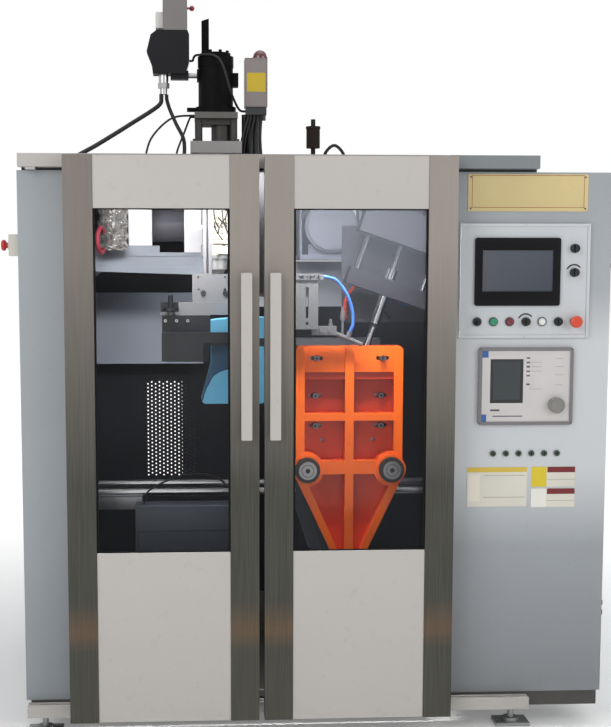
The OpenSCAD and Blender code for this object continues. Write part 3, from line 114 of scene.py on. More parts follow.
def soft_lamp(name, place, target, size, watts):
    data = bpy.data.lights.new(name, "AREA")
    data.shape = "RECTANGLE"
    data.size, data.size_y = size
    data.energy = watts
    lamp = bpy.data.objects.new(name, data)
    lamp.location = place
    lamp.rotation_euler = (Vector(target) - Vector(place)).to_track_quat("-Z", "Y").to_euler()
    scene.collection.objects.link(lamp)
    return lamp


STRIP_Z = 1745
strips = [soft_lamp("lamp_inside", at(-20, 130, STRIP_Z), at(-20, 800, 1200), (1.1, 0.1), 29),
          soft_lamp("lamp_behind", at(330, 900, STRIP_Z), at(330, 1250, 1450), (0.5, 0.1), 2.6)]
for strip in strips:
    strip.visible_camera = False
    strip.visible_glossy = False
FRONT_AIM = (0, -0.6, 1.2)
soft_lamp("lamp_front_left", (-3.2, -4.6, 3.2), FRONT_AIM, (3.0, 2.4), 84)
soft_lamp("lamp_front_right", (3.4, -4.2, 2.6), FRONT_AIM, (2.4, 2.4), 52)
soft_lamp("lamp_top", (0.2, -0.8, 5.0), (0, 0, 1.5), (3.5, 3.5), 50)
soft_lamp("lamp_rear", (1.5, 4.5, 3.0), (0, 0.8, 1.2), (3.0, 2.5), 50)
print("lamps:", len(bpy.data.lights))

# %% [markdown]
# The hall itself is the world. Light Path tells which kind of ray asks, so the world can be plain white to
# the eye, to mirrors and through a pane, and dimmer as a source of light. One helper adds a node with its
# links and values, and the trees of Geometry Nodes further down use it too.

# %% World
def wire(tree, kind, links=None, values=None, **settings):
    made = tree.nodes.new(kind)
    for key, value in settings.items():
        setattr(made, key, value)
    for key, value in (values or {}).items():
        made.inputs[key].default_value = value
    for key, source in (links or {}).items():
        tree.links.new(source, made.inputs[key])
    return made


scene.world = bpy.data.worlds.new("hall")
scene.world.use_nodes = True
sky = scene.world.node_tree
sky.nodes.clear()
ray = wire(sky, "ShaderNodeLightPath").outputs
plain = wire(sky, "ShaderNodeBackground", values={"Color": (1, 1, 1, 1)})
dim = wire(sky, "ShaderNodeBackground", values={"Color": (0.93, 0.96, 1.0, 1), "Strength": 0.3})
direct = wire(sky, "ShaderNodeMath", {0: ray["Is Camera Ray"], 1: ray["Is Glossy Ray"]}, operation="ADD")
seen = wire(sky, "ShaderNodeMath", {0: direct.outputs[0], 1: ray["Is Transmission Ray"]}, operation="ADD",
            use_clamp=True)
choose = wire(sky, "ShaderNodeMixShader", {0: seen.outputs[0], 1: dim.outputs[0], 2: plain.outputs[0]})
wire(sky, "ShaderNodeOutputWorld", {0: choose.outputs[0]})

floor_mesh = bpy.data.meshes.new("floor")
floor_mesh.from_pydata([(-14, -12, 0), (14, -12, 0), (14, 16, 0), (-14, 16, 0)], [], [(0, 1, 2, 3)])
floor = bpy.data.objects.new("floor", floor_mesh)
scene.collection.objects.link(floor)
print("world nodes:", len(sky.nodes), "floor:", floor.name)

# %% [markdown]
# Shader maths reads best as sums. A flow is one output of one node, and adding, multiplying or comparing
# flows adds the Math nodes. The reflected forms are there too, so that 1 - mask works.

# %% Flows
class Flow:
    def __init__(self, finish, socket):
        self.finish = finish
        self.socket = socket

    def maths(self, operation, first, second):
        return self.finish.node("ShaderNodeMath", {"operation": operation}, {0: first, 1: second})

    def __add__(self, other):
        return self.maths("ADD", self, other)

    def __radd__(self, other):
        return self.maths("ADD", other, self)

    def __sub__(self, other):
        return self.maths("SUBTRACT", self, other)

    def __rsub__(self, other):
        return self.maths("SUBTRACT", other, self)

    def __mul__(self, other):
        return self.maths("MULTIPLY", self, other)

    def __rmul__(self, other):
        return self.maths("MULTIPLY", other, self)

    def __gt__(self, other):
        return self.maths("GREATER_THAN", self, other)

    def __lt__(self, other):
        return self.maths("LESS_THAN", self, other)


print("flows can be added, subtracted, multiplied and compared")

# %% [markdown]
# A finish is one material. It knows the place on the machine in drawing millimetres, so that a band, a
# field or a hinge can be given its colour by its place. Its methods are the few moves that every finish
# here is made of: noise, a mix of two colours, a soft ramp, a sharp zone, slow clouds and a bump.

# %% Finishes
class Finish:
    def __init__(self, name):
        self.material = bpy.data.materials.new(name)
        self.material.use_nodes = True
        self.tree = self.material.node_tree
        self.tree.nodes.clear()
        self.place = self.node("ShaderNodeTexCoord", out="Object")
        parts = self.node("ShaderNodeSeparateXYZ", inputs={"Vector": self.place}).socket.node
        self.x = Flow(self, parts.outputs["X"]) * 1000 + GAP_X
        self.y = Flow(self, parts.outputs["Y"]) * 1000 + GAP_Y
        self.z = Flow(self, parts.outputs["Z"]) * 1000

    def node(self, kind, settings=None, inputs=None, out=0):
        made = self.tree.nodes.new(kind)
        for key, value in (settings or {}).items():
            setattr(made, key, value)
        for key, value in (inputs or {}).items():
            if isinstance(value, Flow):
                self.tree.links.new(value.socket, made.inputs[key])
            else:
                made.inputs[key].default_value = value
        return Flow(self, made.outputs[out]) if len(made.outputs) else None

    def noise(self, scale, detail=2.0, stretch=(1, 1, 1)):
        moved = self.node("ShaderNodeMapping", inputs={"Vector": self.place, "Scale": stretch})
        return self.node("ShaderNodeTexNoise", {"noise_dimensions": "3D"},
                         {"Vector": moved, "Scale": scale, "Detail": detail})

    def mix(self, mask, below, above):
        made = self.node("ShaderNodeMix", {"data_type": "RGBA"}, out=2)
        sockets = made.socket.node.inputs
        for socket, value in ((sockets[0], mask), (sockets[6], below), (sockets[7], above)):
            if isinstance(value, Flow):
                self.tree.links.new(value.socket, socket)
            else:
                socket.default_value = value
        return made

    def ramp(self, value, low, high):
        return self.node("ShaderNodeMapRange", {"clamp": True},
                         {"Value": value, "From Min": low, "From Max": high})

    def zone(self, x=None, y=None, z=None):
        mask = None
        for flow, span in ((self.x, x), (self.y, y), (self.z, z)):
            if span is not None:
                part = (flow > span[0]) * (flow < span[1])
                mask = part if mask is None else mask * part
        return mask

    def inside(self, x0, x1, z0, z1):
        return self.zone(x=(x0, x1), z=(z0, z1))

    def squared_reach(self, x, z):
        dx = self.x - x
        dz = self.z - z
        return dx * dx + dz * dz

    def clouds(self, colour, depth=0.06, scale=3.0):
        dark = tuple(c * (1 - depth) for c in colour[:3]) + (1,)
        light = tuple(min(1, c * (1 + depth)) for c in colour[:3]) + (1,)
        return self.mix(self.ramp(self.noise(scale, 3), 0.3, 0.7), dark, light)

    def bump(self, height, strength=0.2, distance=0.001):
        return self.node("ShaderNodeBump", {}, {"Strength": strength, "Distance": distance, "Height": height})

    def coat(self, colour, roughness, metallic=0.0, normal=None, coat=0.0, alpha=None, glow=None, ior=None,
             shine=None):
        values = {"Base Color": colour, "Roughness": roughness, "Metallic": metallic}
        if normal is not None:
            values["Normal"] = normal
        if coat:
            values["Coat Weight"] = coat
        if alpha is not None:
            values["Alpha"] = alpha
        if glow is not None:
            values["Emission Color"] = glow[0]
            values["Emission Strength"] = glow[1]
        if ior is not None:
            values["IOR"] = ior
        if shine is not None:
            values["Specular IOR Level"] = shine
        shader = self.node("ShaderNodeBsdfPrincipled", {}, values)
        self.node("ShaderNodeOutputMaterial", {}, {"Surface": shader})
        return self.material


print("moves of a finish:", [name for name in vars(Finish) if not name.startswith("_")])

# %% [markdown]
# The floor takes the shadow of the machine. Further out it turns into a glow of plain white, so that it has
# no edge against the hall.

# %% Floor
SHADOW_REACH = 1.2
GLOW_REACH = 3.2


def pale_floor():
    ground = Finish("pale_floor")
    away = ground.node("ShaderNodeVectorMath", {"operation": "LENGTH"}, {0: ground.place}, out=1)
    far = ground.ramp(away, SHADOW_REACH, GLOW_REACH)
    tone = ground.mix(far, ground.clouds(ink(250, 250, 249), 0.01, 0.6), (0.02, 0.02, 0.02, 1))
    glow = ground.mix(far, (0.16, 0.16, 0.16, 1), (1, 1, 1, 1))
    return ground.coat(tone, 0.7, glow=(glow, 1.0))


floor_mesh.materials.append(pale_floor())
print("floor finish ready")

# %% [markdown]
# Powder coated sheet is never one flat colour. It has slow clouds from the spray gun, an orange peel too
# fine to count, a little dust low down, and a duller patch where hands and sleeves pass. All covers share
# this recipe and differ in colour. What belongs to one cover only is switched on by name: painted shade
# that darkens the sheet towards the floor and a little towards the top, black hinges near an edge, a
# painted glare at the height where a lamp of the hall meets the sheet, a greyer end, and an inner side
# painted dark as shade, because it gets no light, with painted light on its upper right part.

# %% Powder coat
GRIME = ink(120, 116, 108)
FLOOR_DUST = ink(112, 106, 96)
BLACK_HINGE = ink(28, 28, 30)
HINGE_SPANS = ((362, 414), (1483, 1535))
GREY_END = ink(122, 127, 130)
INSIDE_SHADE = ink(24, 25, 28)
INSIDE_PAINTED_LIGHT = ink(150, 152, 160)


def powder(name, colour, gloss=0.42, depth=0.04, dust=0.12, painted_shade=None, hinges=None, inner=None, shine=0.5,
           greyer=None, painted_glare=None):
    paint = Finish(name)
    tone = paint.clouds(colour, depth, 2.2)
    tone = paint.mix(paint.ramp(paint.noise(38, 4), 0.62, 0.8) * 0.18, tone, GRIME)
    tone = paint.mix((1 - paint.ramp(paint.z, 80, 520)) * dust, tone, FLOOR_DUST)
    # painted shade: the sheet is darker towards the floor and a little darker towards the top
    if painted_shade is not None:
        tone = paint.mix((1 - paint.ramp(paint.z, 150, 950)) * 0.55, tone, painted_shade)
        tone = paint.mix(paint.ramp(paint.z, 1250, 1800) * 0.18, tone, painted_shade)
    if hinges is not None:
        mask = (paint.x < hinges) if hinges < 0 else (paint.x > hinges)
        spans = paint.z * 0
        for span in HINGE_SPANS:
            spans = spans + paint.zone(z=span)
        tone = paint.mix(mask * spans, tone, BLACK_HINGE)
    # painted glare: a lighter band where a lamp of the hall meets the sheet
    if painted_glare is not None:
        glare = paint.ramp(paint.z, 600, 850) * (1 - paint.ramp(paint.z, 1250, 1420))
        tone = paint.mix(glare * 0.75, tone, painted_glare)
    if greyer is not None:
        tone = paint.mix(paint.zone(**greyer), tone, paint.clouds(GREY_END, 0.05, 3))
    # painted shade on the inner side, which gets no light, and painted light on its upper right part
    if inner is not None:
        unlit = paint.clouds(INSIDE_SHADE, 0.1, 3)
        unlit = paint.mix((paint.z > 1330) * (paint.x > 60), unlit, paint.clouds(INSIDE_PAINTED_LIGHT, 0.08, 3))
        tone = paint.mix(paint.zone(**inner), tone, unlit)
    peel = paint.noise(150, 2)
    rub = paint.ramp(paint.noise(5, 3), 0.35, 0.75) * 0.12 + gloss
    return paint.coat(tone, rub, normal=paint.bump(peel, 0.03, 0.0004), shine=shine)


SIDE_TONE = ink(160, 165, 169)
SIDE_PAINTED_SHADE = ink(126, 132, 138)
LEFT_HINGE_X = -746.0
cover_coat = powder("cover_coat", ink(160, 166, 170), painted_shade=ink(128, 134, 140),
                    inner={"x": (-800, 865.8), "y": (0, 1501.9)})
left_cover_coat = powder("left_cover_coat", SIDE_TONE, painted_shade=SIDE_PAINTED_SHADE, hinges=LEFT_HINGE_X)
side_door_coat = powder("side_door_coat", SIDE_TONE, painted_shade=SIDE_PAINTED_SHADE, hinges=LEFT_HINGE_X,
                        inner={"x": (-743.5, 0)})
cabinet_coat = powder("cabinet_coat", ink(164, 168, 172), painted_shade=ink(84, 89, 93), hinges=1107.4,
                      painted_glare=ink(208, 210, 212))
door_coat = powder("door_coat", ink(187, 183, 178), gloss=0.34, depth=0.02)
track_coat = powder("track_coat", ink(180, 176, 172), gloss=0.36,
                    greyer={"x": (585, 1200), "z": (1700, 2000)})
roof_coat = powder("roof_coat", ink(186, 184, 180), dust=0.0)
frame_coat = powder("frame_coat", ink(40, 43, 47), gloss=0.5, dust=0.3, shine=0.3)
slate_coat = powder("slate_coat", ink(54, 58, 65), gloss=0.4, shine=0.35)
carriage_coat = powder("carriage_coat", ink(72, 76, 82), gloss=0.45)
motor_coat = powder("motor_coat", ink(120, 123, 136), gloss=0.36)
gear_coat = powder("gear_coat", ink(112, 132, 146), gloss=0.4)
blow_coat = powder("blow_coat", ink(68, 68, 75), gloss=0.42, shine=0.35)
print("powder coats ready, the lightest is", door_coat.name)

# %% [markdown]
# The stiles of the doors are brushed stainless steel. Brushing leaves long hairlines in one direction,
# which is a noise stretched a hundredfold. The steel mirrors the hall, and that reflection is painted into
# the tone: the lower part is darker and greener than the upper one, with a brown band at knee height, and
# the outer left stile is duller, so the tone drifts along the height and differs there.

# %% Brushed and bright steel
HAIR_STRETCH = {"X": (1.2, 160, 160), "Y": (160, 1.2, 160), "Z": (160, 160, 1.2)}
OUTER_STILE_X = -480


def brushed(name, colour, roughness=0.34, along="Z", reflected_low_tone=None, grain=0.1, metallic=0.85, light=0.22):
    steel = Finish(name)
    hair = steel.noise(5, 3, HAIR_STRETCH[along])
    tone = steel.clouds(colour, 0.06, 1.6)
    # painted reflection: the outer stile duller, the lower part darker and greener, a brown band at knee
    # height and the very bottom darker still
    if reflected_low_tone is not None:
        tone = steel.mix((steel.x < OUTER_STILE_X) * 0.6, tone, ink(88, 81, 75))
        tone = steel.mix(1 - steel.ramp(steel.z, 820, 1560), tone, reflected_low_tone)
        reflected_band = steel.ramp(steel.z, 300, 350) * (1 - steel.ramp(steel.z, 370, 450))
        tone = steel.mix(reflected_band * 0.4, tone, ink(118, 84, 50))
        tone = steel.mix((1 - steel.ramp(steel.z, 60, 420)) * 0.5, tone, ink(56, 57, 44))
    tone = steel.mix(steel.ramp(hair, 0.35, 0.7) * light, tone, ink(225, 222, 215))
    rub = steel.ramp(hair, 0.3, 0.7) * grain + roughness
    return steel.coat(tone, rub, metallic, steel.bump(hair, 0.08, 0.0004))


stile_steel = brushed("stile_steel", ink(144, 136, 129), 0.4, "Z", ink(54, 54, 45), metallic=0.4,
                      light=0.05)
barrel_steel = brushed("barrel_steel", ink(188, 190, 190), 0.3, "Y")
hopper_steel = brushed("hopper_steel", ink(200, 201, 201), 0.28, "X")
foot_steel = brushed("foot_steel", ink(140, 142, 144), 0.45, "X")
mould_alloy = brushed("mould_alloy", ink(168, 172, 176), 0.38, "X", grain=0.16)


def bright(name, colour, roughness):
    metal = Finish(name)
    smear = metal.ramp(metal.noise(14, 3), 0.4, 0.75)
    tone = metal.mix(smear * 0.25, colour, tuple(c * 0.75 for c in colour[:3]) + (1,))
    return metal.coat(tone, smear * 0.08 + roughness, 1.0, metal.bump(metal.noise(260, 2), 0.015, 0.0003))


ground_rod = bright("ground_rod", (0.60, 0.61, 0.63, 1), 0.2)
print("metals ready, the brightest is", ground_rod.name)

# %% [markdown]
# Orange enamel on the cast platens is thicker and glossier than powder coat. The floors of the pockets lie
# in shade, so they are painted redder and darker, most of all in the upper pockets. Oil mist leaves darker
# stains, small chips show the primer, and the upper edge of the middle platen is painted dark grey as
# shade. A coat layer over the colour gives the wet gloss.

# %% Orange enamel
POCKET_FLOOR = (362, 397)


def orange_enamel():
    enamel = Finish("orange_enamel")
    # painted shade: the pocket floors redder, and darker in the upper pockets
    pocket_shade = enamel.zone(y=POCKET_FLOOR)
    deep = enamel.mix(enamel.ramp(enamel.z, 1060, 700), ink(196, 56, 26), ink(232, 78, 24))
    deep = enamel.mix((enamel.z > 1000) * 0.5, deep, ink(160, 50, 30))
    tone = enamel.mix(pocket_shade, enamel.clouds(ink(255, 108, 24), 0.06, 5), deep)
    stain = enamel.ramp(enamel.noise(11, 5, (1, 1, 0.35)), 0.58, 0.78)
    tone = enamel.mix(stain * 0.4, tone, ink(150, 58, 22))
    # painted shade: the upper edge of the middle platen is dark grey
    painted_dark_top = (enamel.y > 700) * (enamel.z > 1188)
    tone = enamel.mix(painted_dark_top, tone, ink(70, 70, 74))
    chips = enamel.ramp(enamel.noise(85, 4), 0.70, 0.74)
    tone = enamel.mix(chips * 0.5, tone, ink(96, 62, 48))
    return enamel.coat(tone, stain * 0.2 + 0.3, normal=enamel.bump(enamel.noise(130, 3), 0.08, 0.0008),
                       coat=0.12, shine=0.3)


orange_paint = orange_enamel()
print("enamel:", orange_paint.name)

# %% [markdown]
# Plastics, rubber and lenses are small here but close to the eye. Each keeps a fine texture, a trace of
# dust and a roughness that varies, so that no button looks like a drop of pure colour.

# %% Plastics, rubber and lenses
def plastic(name, colour, roughness=0.4, dust=0.12, coat=0.0, grain=600, shine=0.5):
    moulded = Finish(name)
    tone = moulded.clouds(colour, 0.07, 12)
    tone = moulded.mix(moulded.ramp(moulded.noise(60, 4), 0.55, 0.8) * dust, tone, ink(150, 146, 138))
    rub = moulded.ramp(moulded.noise(24, 3), 0.3, 0.7) * 0.1 + roughness
    return moulded.coat(tone, rub, normal=moulded.bump(moulded.noise(grain, 2), 0.06, 0.0004), coat=coat,
                        shine=shine)


black_plastic = plastic("black_plastic", ink(28, 29, 32), 0.4, 0.05, shine=0.3)
black_enamel = plastic("black_enamel", ink(12, 12, 13), 0.5, 0.01, 0.0, 180, 0.06)
pale_plastic = plastic("pale_plastic", ink(198, 194, 184), 0.45)
green_cap = plastic("green_cap", ink(38, 132, 96), 0.3)
red_cap = plastic("red_cap", ink(112, 34, 48), 0.3)
stop_red = plastic("stop_red", ink(206, 62, 26), 0.3, 0.05, 0.2)
side_stop_red = plastic("side_stop_red", ink(190, 40, 42), 0.32)
knob_grey = plastic("knob_grey", ink(128, 126, 122), 0.3)
lamp_red = plastic("lamp_red", ink(92, 14, 24), 0.14, 0.06, 0.5)
socket_green = plastic("socket_green", ink(46, 62, 52), 0.4)
rubber = plastic("rubber", ink(24, 24, 26), 0.5, 0.06, 0.0, 300, 0.3)
soft_black = plastic("soft_black", ink(20, 21, 23), 0.6, 0.04, 0.0, 120, 0.15)
blue_tube = plastic("blue_tube", ink(66, 118, 214), 0.3, 0.04)
red_tube = plastic("red_tube", ink(216, 66, 50), 0.3, 0.04)
green_tube = plastic("green_tube", ink(60, 150, 110), 0.35, 0.04)
print("plastics ready, the reddest is", stop_red.name)

# %% [markdown]
# The sliding doors have clear plastic panes. What is seen in a pane is mostly what is behind it, with a
# faint grey veil, so the finish is almost transparent and only its gloss and a little dust show. Over the
# upper part of the right pane a thicker pale veil is painted glare of the hall on the pane.

# %% Panes
def pane_finish():
    clear = Finish("clear_pane")
    right = clear.x > 0
    haze = clear.ramp(clear.noise(4, 4), 0.3, 0.8) * 0.006 + right * 0.012 + 0.006
    streak = clear.ramp(clear.noise(2.2, 2, (1, 1, 0.12)), 0.5, 0.62) * clear.ramp(clear.z, 1150, 1500)
    # painted glare: a pale veil over the upper part of the right pane
    upper_glare_veil = clear.ramp(clear.z, 1400, 1640) * right * (streak * 0.12 + 0.24)
    middle_glare_veil = clear.ramp(clear.z, 1200, 1450) * right * 0.03
    veil = haze + streak * 0.05 + upper_glare_veil + middle_glare_veil
    return clear.coat(ink(150, 155, 166), 0.06, alpha=veil, ior=1.45)


clear_pane = pane_finish()
print("pane:", clear_pane.name)

# %% [markdown]
# A packed solid is loose triangles with knife edges. Real sheet and castings have a small radius that
# catches a line of light. Here a copy of each solid is merged, its flat faces are joined, its long edges
# get a narrow bevel, and a copy of the finish goes on. The copy then stands for the solid.

# %% Rounding the edges of a copied solid
BODY_OF = {node: body for body, nodes in frame["record"]["behaviour"]["bodies"].items() for node in nodes}
BEVEL_ANGLE = math.radians(50)


def clean_copy(node):
    form = bmesh.new()
    form.from_mesh(frame["nodes"][node].data)
    bmesh.ops.remove_doubles(form, verts=form.verts, dist=2e-6)
    bmesh.ops.dissolve_limit(form, angle_limit=math.radians(0.4), verts=form.verts, edges=form.edges)
    return form


def sharpen(form, angle=32):
    limit = math.radians(angle)
    for face in form.faces:
        face.smooth = True
    for edge in form.edges:
        edge.smooth = len(edge.link_faces) == 2 and edge.calc_face_angle(0.0) < limit


def keep_piece(name, form, finishes, body, node=None, even=True):
    mesh = bpy.data.meshes.new(name)
    form.to_mesh(mesh)
    form.free()
    for finish in finishes:
        mesh.materials.append(finish)
    piece = bpy.data.objects.new(name, mesh)
    scene.collection.objects.link(piece)
    if even:
        evened = piece.modifiers.new("even_normals", "WEIGHTED_NORMAL")
        evened.keep_sharp = True
    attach(piece, body)
    if node is not None:
        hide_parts(node)
    return piece


def rounded_copy(node, finish, width, shortest=25):
    form = clean_copy(node)
    if width:
        chosen = [e for e in form.edges if len(e.link_faces) == 2 and e.calc_length() > shortest / 1000
                  and e.calc_face_angle(0.0) > BEVEL_ANGLE and e.is_convex]
        bmesh.ops.bevel(form, geom=chosen, offset=width / 1000, segments=2, profile=0.6, affect="EDGES",
                        clamp_overlap=False)
    sharpen(form)
    return keep_piece(node + "_piece", form, [finish], BODY_OF[node], node)


# %% [markdown]
# Most solids need no more than that: one finish and one width for the bevel, in millimetres. Round and
# small pieces have a width of 0, because their solids already have their edges.

# %% Solids with one finish
FINISH_OF = {
    "machine_frame": (frame_coat, 0), "levelling_feet": (foot_steel, 0), "door_tracks": (track_coat, 0.6),
    "left_front_panel": (left_cover_coat, 0.8), "control_cabinet": (cabinet_coat, 1.0),
    "roof_panel": (roof_coat, 0.8), "rear_panels": (cover_coat, 0), "estop_box": (pale_plastic, 1.5),
    "die_head": (barrel_steel, 0), "parison_actuator": (black_enamel, 0.6), "alarm_lamp": (lamp_red, 0),
    "extruder_barrel": (barrel_steel, 0.8), "hopper": (hopper_steel, 0), "extruder_gearbox": (gear_coat, 1.5),
    "extruder_motor": (motor_coat, 0.8), "carriage_rails": (ground_rod, 0.5),
    "valve_chest": (slate_coat, 0.8), "blow_frame": (blow_coat, 1.0),
    "left_door_frame": (stile_steel, 1.2), "right_door_frame": (stile_steel, 1.2),
    "left_door_panels": (door_coat, 1.0), "right_door_panels": (door_coat, 1.0),
    "left_side_door": (side_door_coat, 0.8), "cabinet_side_door": (cabinet_coat, 0.8),
    "carriage_frame": (carriage_coat, 1.0), "front_platen": (orange_paint, 1.6),
    "middle_platen": (orange_paint, 1.6), "mould_rear": (mould_alloy, 0.8), "key_switch": (black_plastic, 0),
    "green_button": (green_cap, 0), "red_button": (red_cap, 0), "speed_knob": (black_plastic, 0),
    "mode_selector": (black_plastic, 0), "panel_estop": (stop_red, 0), "upper_selector": (black_plastic, 0),
    "lower_knob": (black_plastic, 0), "controller_knob": (knob_grey, 0), "left_estop": (side_stop_red, 0),
    "signal_sockets": (socket_green, 0), "left_door_window": (clear_pane, 0),
    "right_door_window": (clear_pane, 0),
}
for node_name, (finish, width) in FINISH_OF.items():
    rounded_copy(node_name, finish, width)
print("solids with rounded edges and finishes:", len(FINISH_OF))

# %% [markdown]
# Each button of the operator panel sits in a ring of bare metal, and the two dials have an arc over them,
# which shows the way to turn. A ring or an arc is a comparison on the squared distance from the middle of the
# button, so it stays sharp at any distance and needs no picture.

# %% Operator panel
BUTTON_X = 681
BUTTON_PITCH = 51.7
BUTTON_Z = 1317
KNOB_X = 987
KNOB_ZS = (1471, 1546)
RINGS = [(BUTTON_X + BUTTON_PITCH * k, BUTTON_Z) for k in range(7)] + [(KNOB_X, z) for z in KNOB_ZS]
DIALS = ((836.1, BUTTON_Z), (KNOB_X, KNOB_ZS[0]))
RING_RADIUS = 16
RING_BACK_LIMIT = 91.6
ARC_RADII = (22, 27)
ARC_BACK_LIMIT = 94
WHITE_LENS = {"x": (873, 903), "y": (70, 87.8), "z": (1302, 1332)}


def panel_face():
    face = Finish("panel_face")
    tone = face.clouds(ink(196, 199, 202), 0.04, 2.2)
    tone = face.mix(face.ramp(face.noise(38, 4), 0.62, 0.8) * 0.15, tone, GRIME)
    metal = face.z * 0
    for x, z in RINGS:
        metal = metal + (face.squared_reach(x, z) < RING_RADIUS ** 2) * (face.y < RING_BACK_LIMIT)
    tone = face.mix(metal, tone, ink(86, 86, 88))
    for x, z in DIALS:
        reach = face.squared_reach(x, z)
        above = (face.z - z) - (face.x - x) * 0.12 > 13
        arc = (reach > ARC_RADII[0] ** 2) * (reach < ARC_RADII[1] ** 2) * above
        tone = face.mix(arc * (face.y < ARC_BACK_LIMIT), tone, ink(26, 26, 28))
    lens = face.zone(**WHITE_LENS)
    tone = face.mix(lens, tone, face.clouds(ink(228, 227, 222), 0.04, 30))
    rub = face.ramp(face.noise(5, 3), 0.35, 0.75) * 0.12 + 0.42 - metal * 0.12 - lens * 0.2
    return face.coat(tone, rub, metal * 0.5 * (1 - lens), face.bump(face.noise(150, 2), 0.03, 0.0004))


rounded_copy("operator_panel", panel_face(), 0.8)
print("rings on the operator panel:", len(RINGS), "and arcs:", len(DIALS))

# %% [markdown]
# Other faces carry flat fields of colour: the dark glass of the touch screen and the pale face of the
# thickness controller. A field is four comparisons on the place multiplied together. A short list of fields
# is laid on one after the other.

# %% Screen and controller
def with_fields(face, tone, fields):
    for x0, x1, z0, z1, colour in fields:
        tone = face.mix(face.inside(x0, x1, z0, z1), tone, colour)
    return tone


SCREEN_GLASS = (683, 930, 1384, 1568)
SCREEN_LIT = (694.9, 918.1, 1411.9, 1540.1)


def screen_face():
    face = Finish("screen_face")
    tone = face.clouds(ink(17, 17, 20), 0.05, 8)
    tone = face.mix(face.inside(*SCREEN_GLASS) * (face.y < 91), tone, ink(12, 12, 15))
    lit = face.mix(face.ramp(face.x, 694, 919), ink(90, 91, 98), ink(62, 67, 78))
    lit = face.mix((face.x > 742) * 0.5, lit, ink(80, 85, 96))
    lit = face.mix(face.ramp(face.z, 1412, 1540) * 0.25, lit, ink(106, 110, 116))
    shown = face.inside(*SCREEN_LIT)
    tone = face.mix(shown, tone, lit)
    return face.coat(tone, 0.34 - shown * 0.2, normal=face.bump(face.noise(500, 2), 0.03, 0.0003), shine=0.12)


CONTROLLER_PALE = (699.9, 981.1, 1000.9, 1225.1)
CONTROLLER_GLASS = (726.9, 832.1, 1059.9, 1199.1)
CONTROLLER_SHOWN = (737, 823, 1070, 1189)
CORNER_BLUE = ink(52, 92, 160)
DASH = ink(78, 78, 82)
THIN_LINE = ink(166, 163, 163)
CONTROLLER_FIELDS = [
    (700, 720, 1204, 1225, CORNER_BLUE), (700, 716, 1001, 1024, CORNER_BLUE),
    (728, 758, 1034, 1040, ink(70, 70, 76)), (736, 832, 1016, 1020, ink(96, 96, 102)),
    (850, 892, 1103, 1105, THIN_LINE)]
CONTROLLER_FIELDS += [(842, 853, z, z + 5, DASH) for z in (1200, 1186, 1158, 1144)]
CONTROLLER_FIELDS += [(842, 853, z, z + 6, DASH) for z in (1172, 1116)]
CONTROLLER_FIELDS += [(858, 892, z, z + 2, THIN_LINE) for z in (1188, 1174, 1160)]
CONTROLLER_FIELDS += [(934, 960, z, z + 2, THIN_LINE) for z in (1200, 1174, 1148, 1116)]


def controller_face():
    face = Finish("controller_face")
    tone = face.clouds(ink(116, 112, 114), 0.05, 8)
    pale = face.clouds(ink(200, 196, 195), 0.03, 10)
    tone = face.mix(face.inside(*CONTROLLER_PALE), tone, pale)
    tone = with_fields(face, tone, CONTROLLER_FIELDS)
    glass = face.inside(*CONTROLLER_GLASS)
    deep = face.mix(face.ramp(face.z, 1060, 1199), ink(22, 24, 26), ink(40, 42, 44))
    deep = face.mix(face.inside(*CONTROLLER_SHOWN), deep, ink(48, 55, 57))
    tone = face.mix(glass, tone, deep)
    return face.coat(tone, 0.42 - glass * 0.28, normal=face.bump(face.noise(500, 2), 0.03, 0.0003))


rounded_copy("touch_screen", screen_face(), 1.0)
rounded_copy("parison_controller", controller_face(), 1.0)
print("fields on the controller:", len(CONTROLLER_FIELDS))

# %% [markdown]
# The plates and the terminal box are flat sheet. The upper plate is brass with a thin frame line, the lower
# ones are pale with plain fields of colour, and the terminal box is grey with a dark gland plate below.

# %% Plates and terminal box
FIELD_RED = ink(108, 18, 26)
RULE = ink(170, 164, 152)
PAPER_FIELDS = [
    (659, 852, 838, 854, ink(206, 178, 70)), (664, 700, 744, 830, ink(226, 220, 204)),
    (712, 846, 826, 828, ink(160, 150, 132)), (712, 846, 756, 758, ink(160, 150, 132)),
    (867, 916, 790, 854, ink(214, 190, 40)), (918, 1008, 836, 854, FIELD_RED), (918, 1008, 812, 814, RULE),
    (867, 916, 724, 784, ink(226, 224, 216)), (918, 1008, 766, 784, FIELD_RED), (918, 1008, 744, 746, RULE)]
BRASS_FROM_Z = 1500


def plate_face():
    face = Finish("plate_face")
    brass = face.clouds(ink(184, 168, 122), 0.06, 4)
    brass = face.mix(face.ramp(face.noise(30, 4), 0.6, 0.8) * 0.3, brass, ink(168, 148, 104))
    edge = face.inside(660, 1016, 1672, 1773) - face.inside(662, 1014, 1674, 1771)
    brass = face.mix(edge * 0.8, brass, ink(120, 52, 34))
    paper = with_fields(face, face.clouds(ink(212, 208, 196), 0.04, 9), PAPER_FIELDS)
    upper = face.z > BRASS_FROM_Z
    tone = face.mix(upper, paper, brass)
    return face.coat(tone, 0.5 - upper * 0.16, upper * 0.55, face.bump(face.noise(240, 3), 0.05, 0.0004))


YELLOW_FIELD = (-18, 46, 2092, 2156)
GLAND_PLATE_Z = 2041


def terminal_face():
    face = Finish("terminal_face")
    tone = face.clouds(ink(134, 126, 123), 0.03, 6)
    tone = face.mix(face.inside(*YELLOW_FIELD) * (face.y < 625), tone, ink(200, 172, 44))
    tone = face.mix(face.z < GLAND_PLATE_Z, tone, ink(34, 36, 38))
    return face.coat(tone, 0.42, normal=face.bump(face.noise(300, 2), 0.04, 0.0004))


rounded_copy("bare_plates", plate_face(), 0)
rounded_copy("terminal_box", terminal_face(), 0.8)
print("fields on the paper plates:", len(PAPER_FIELDS))

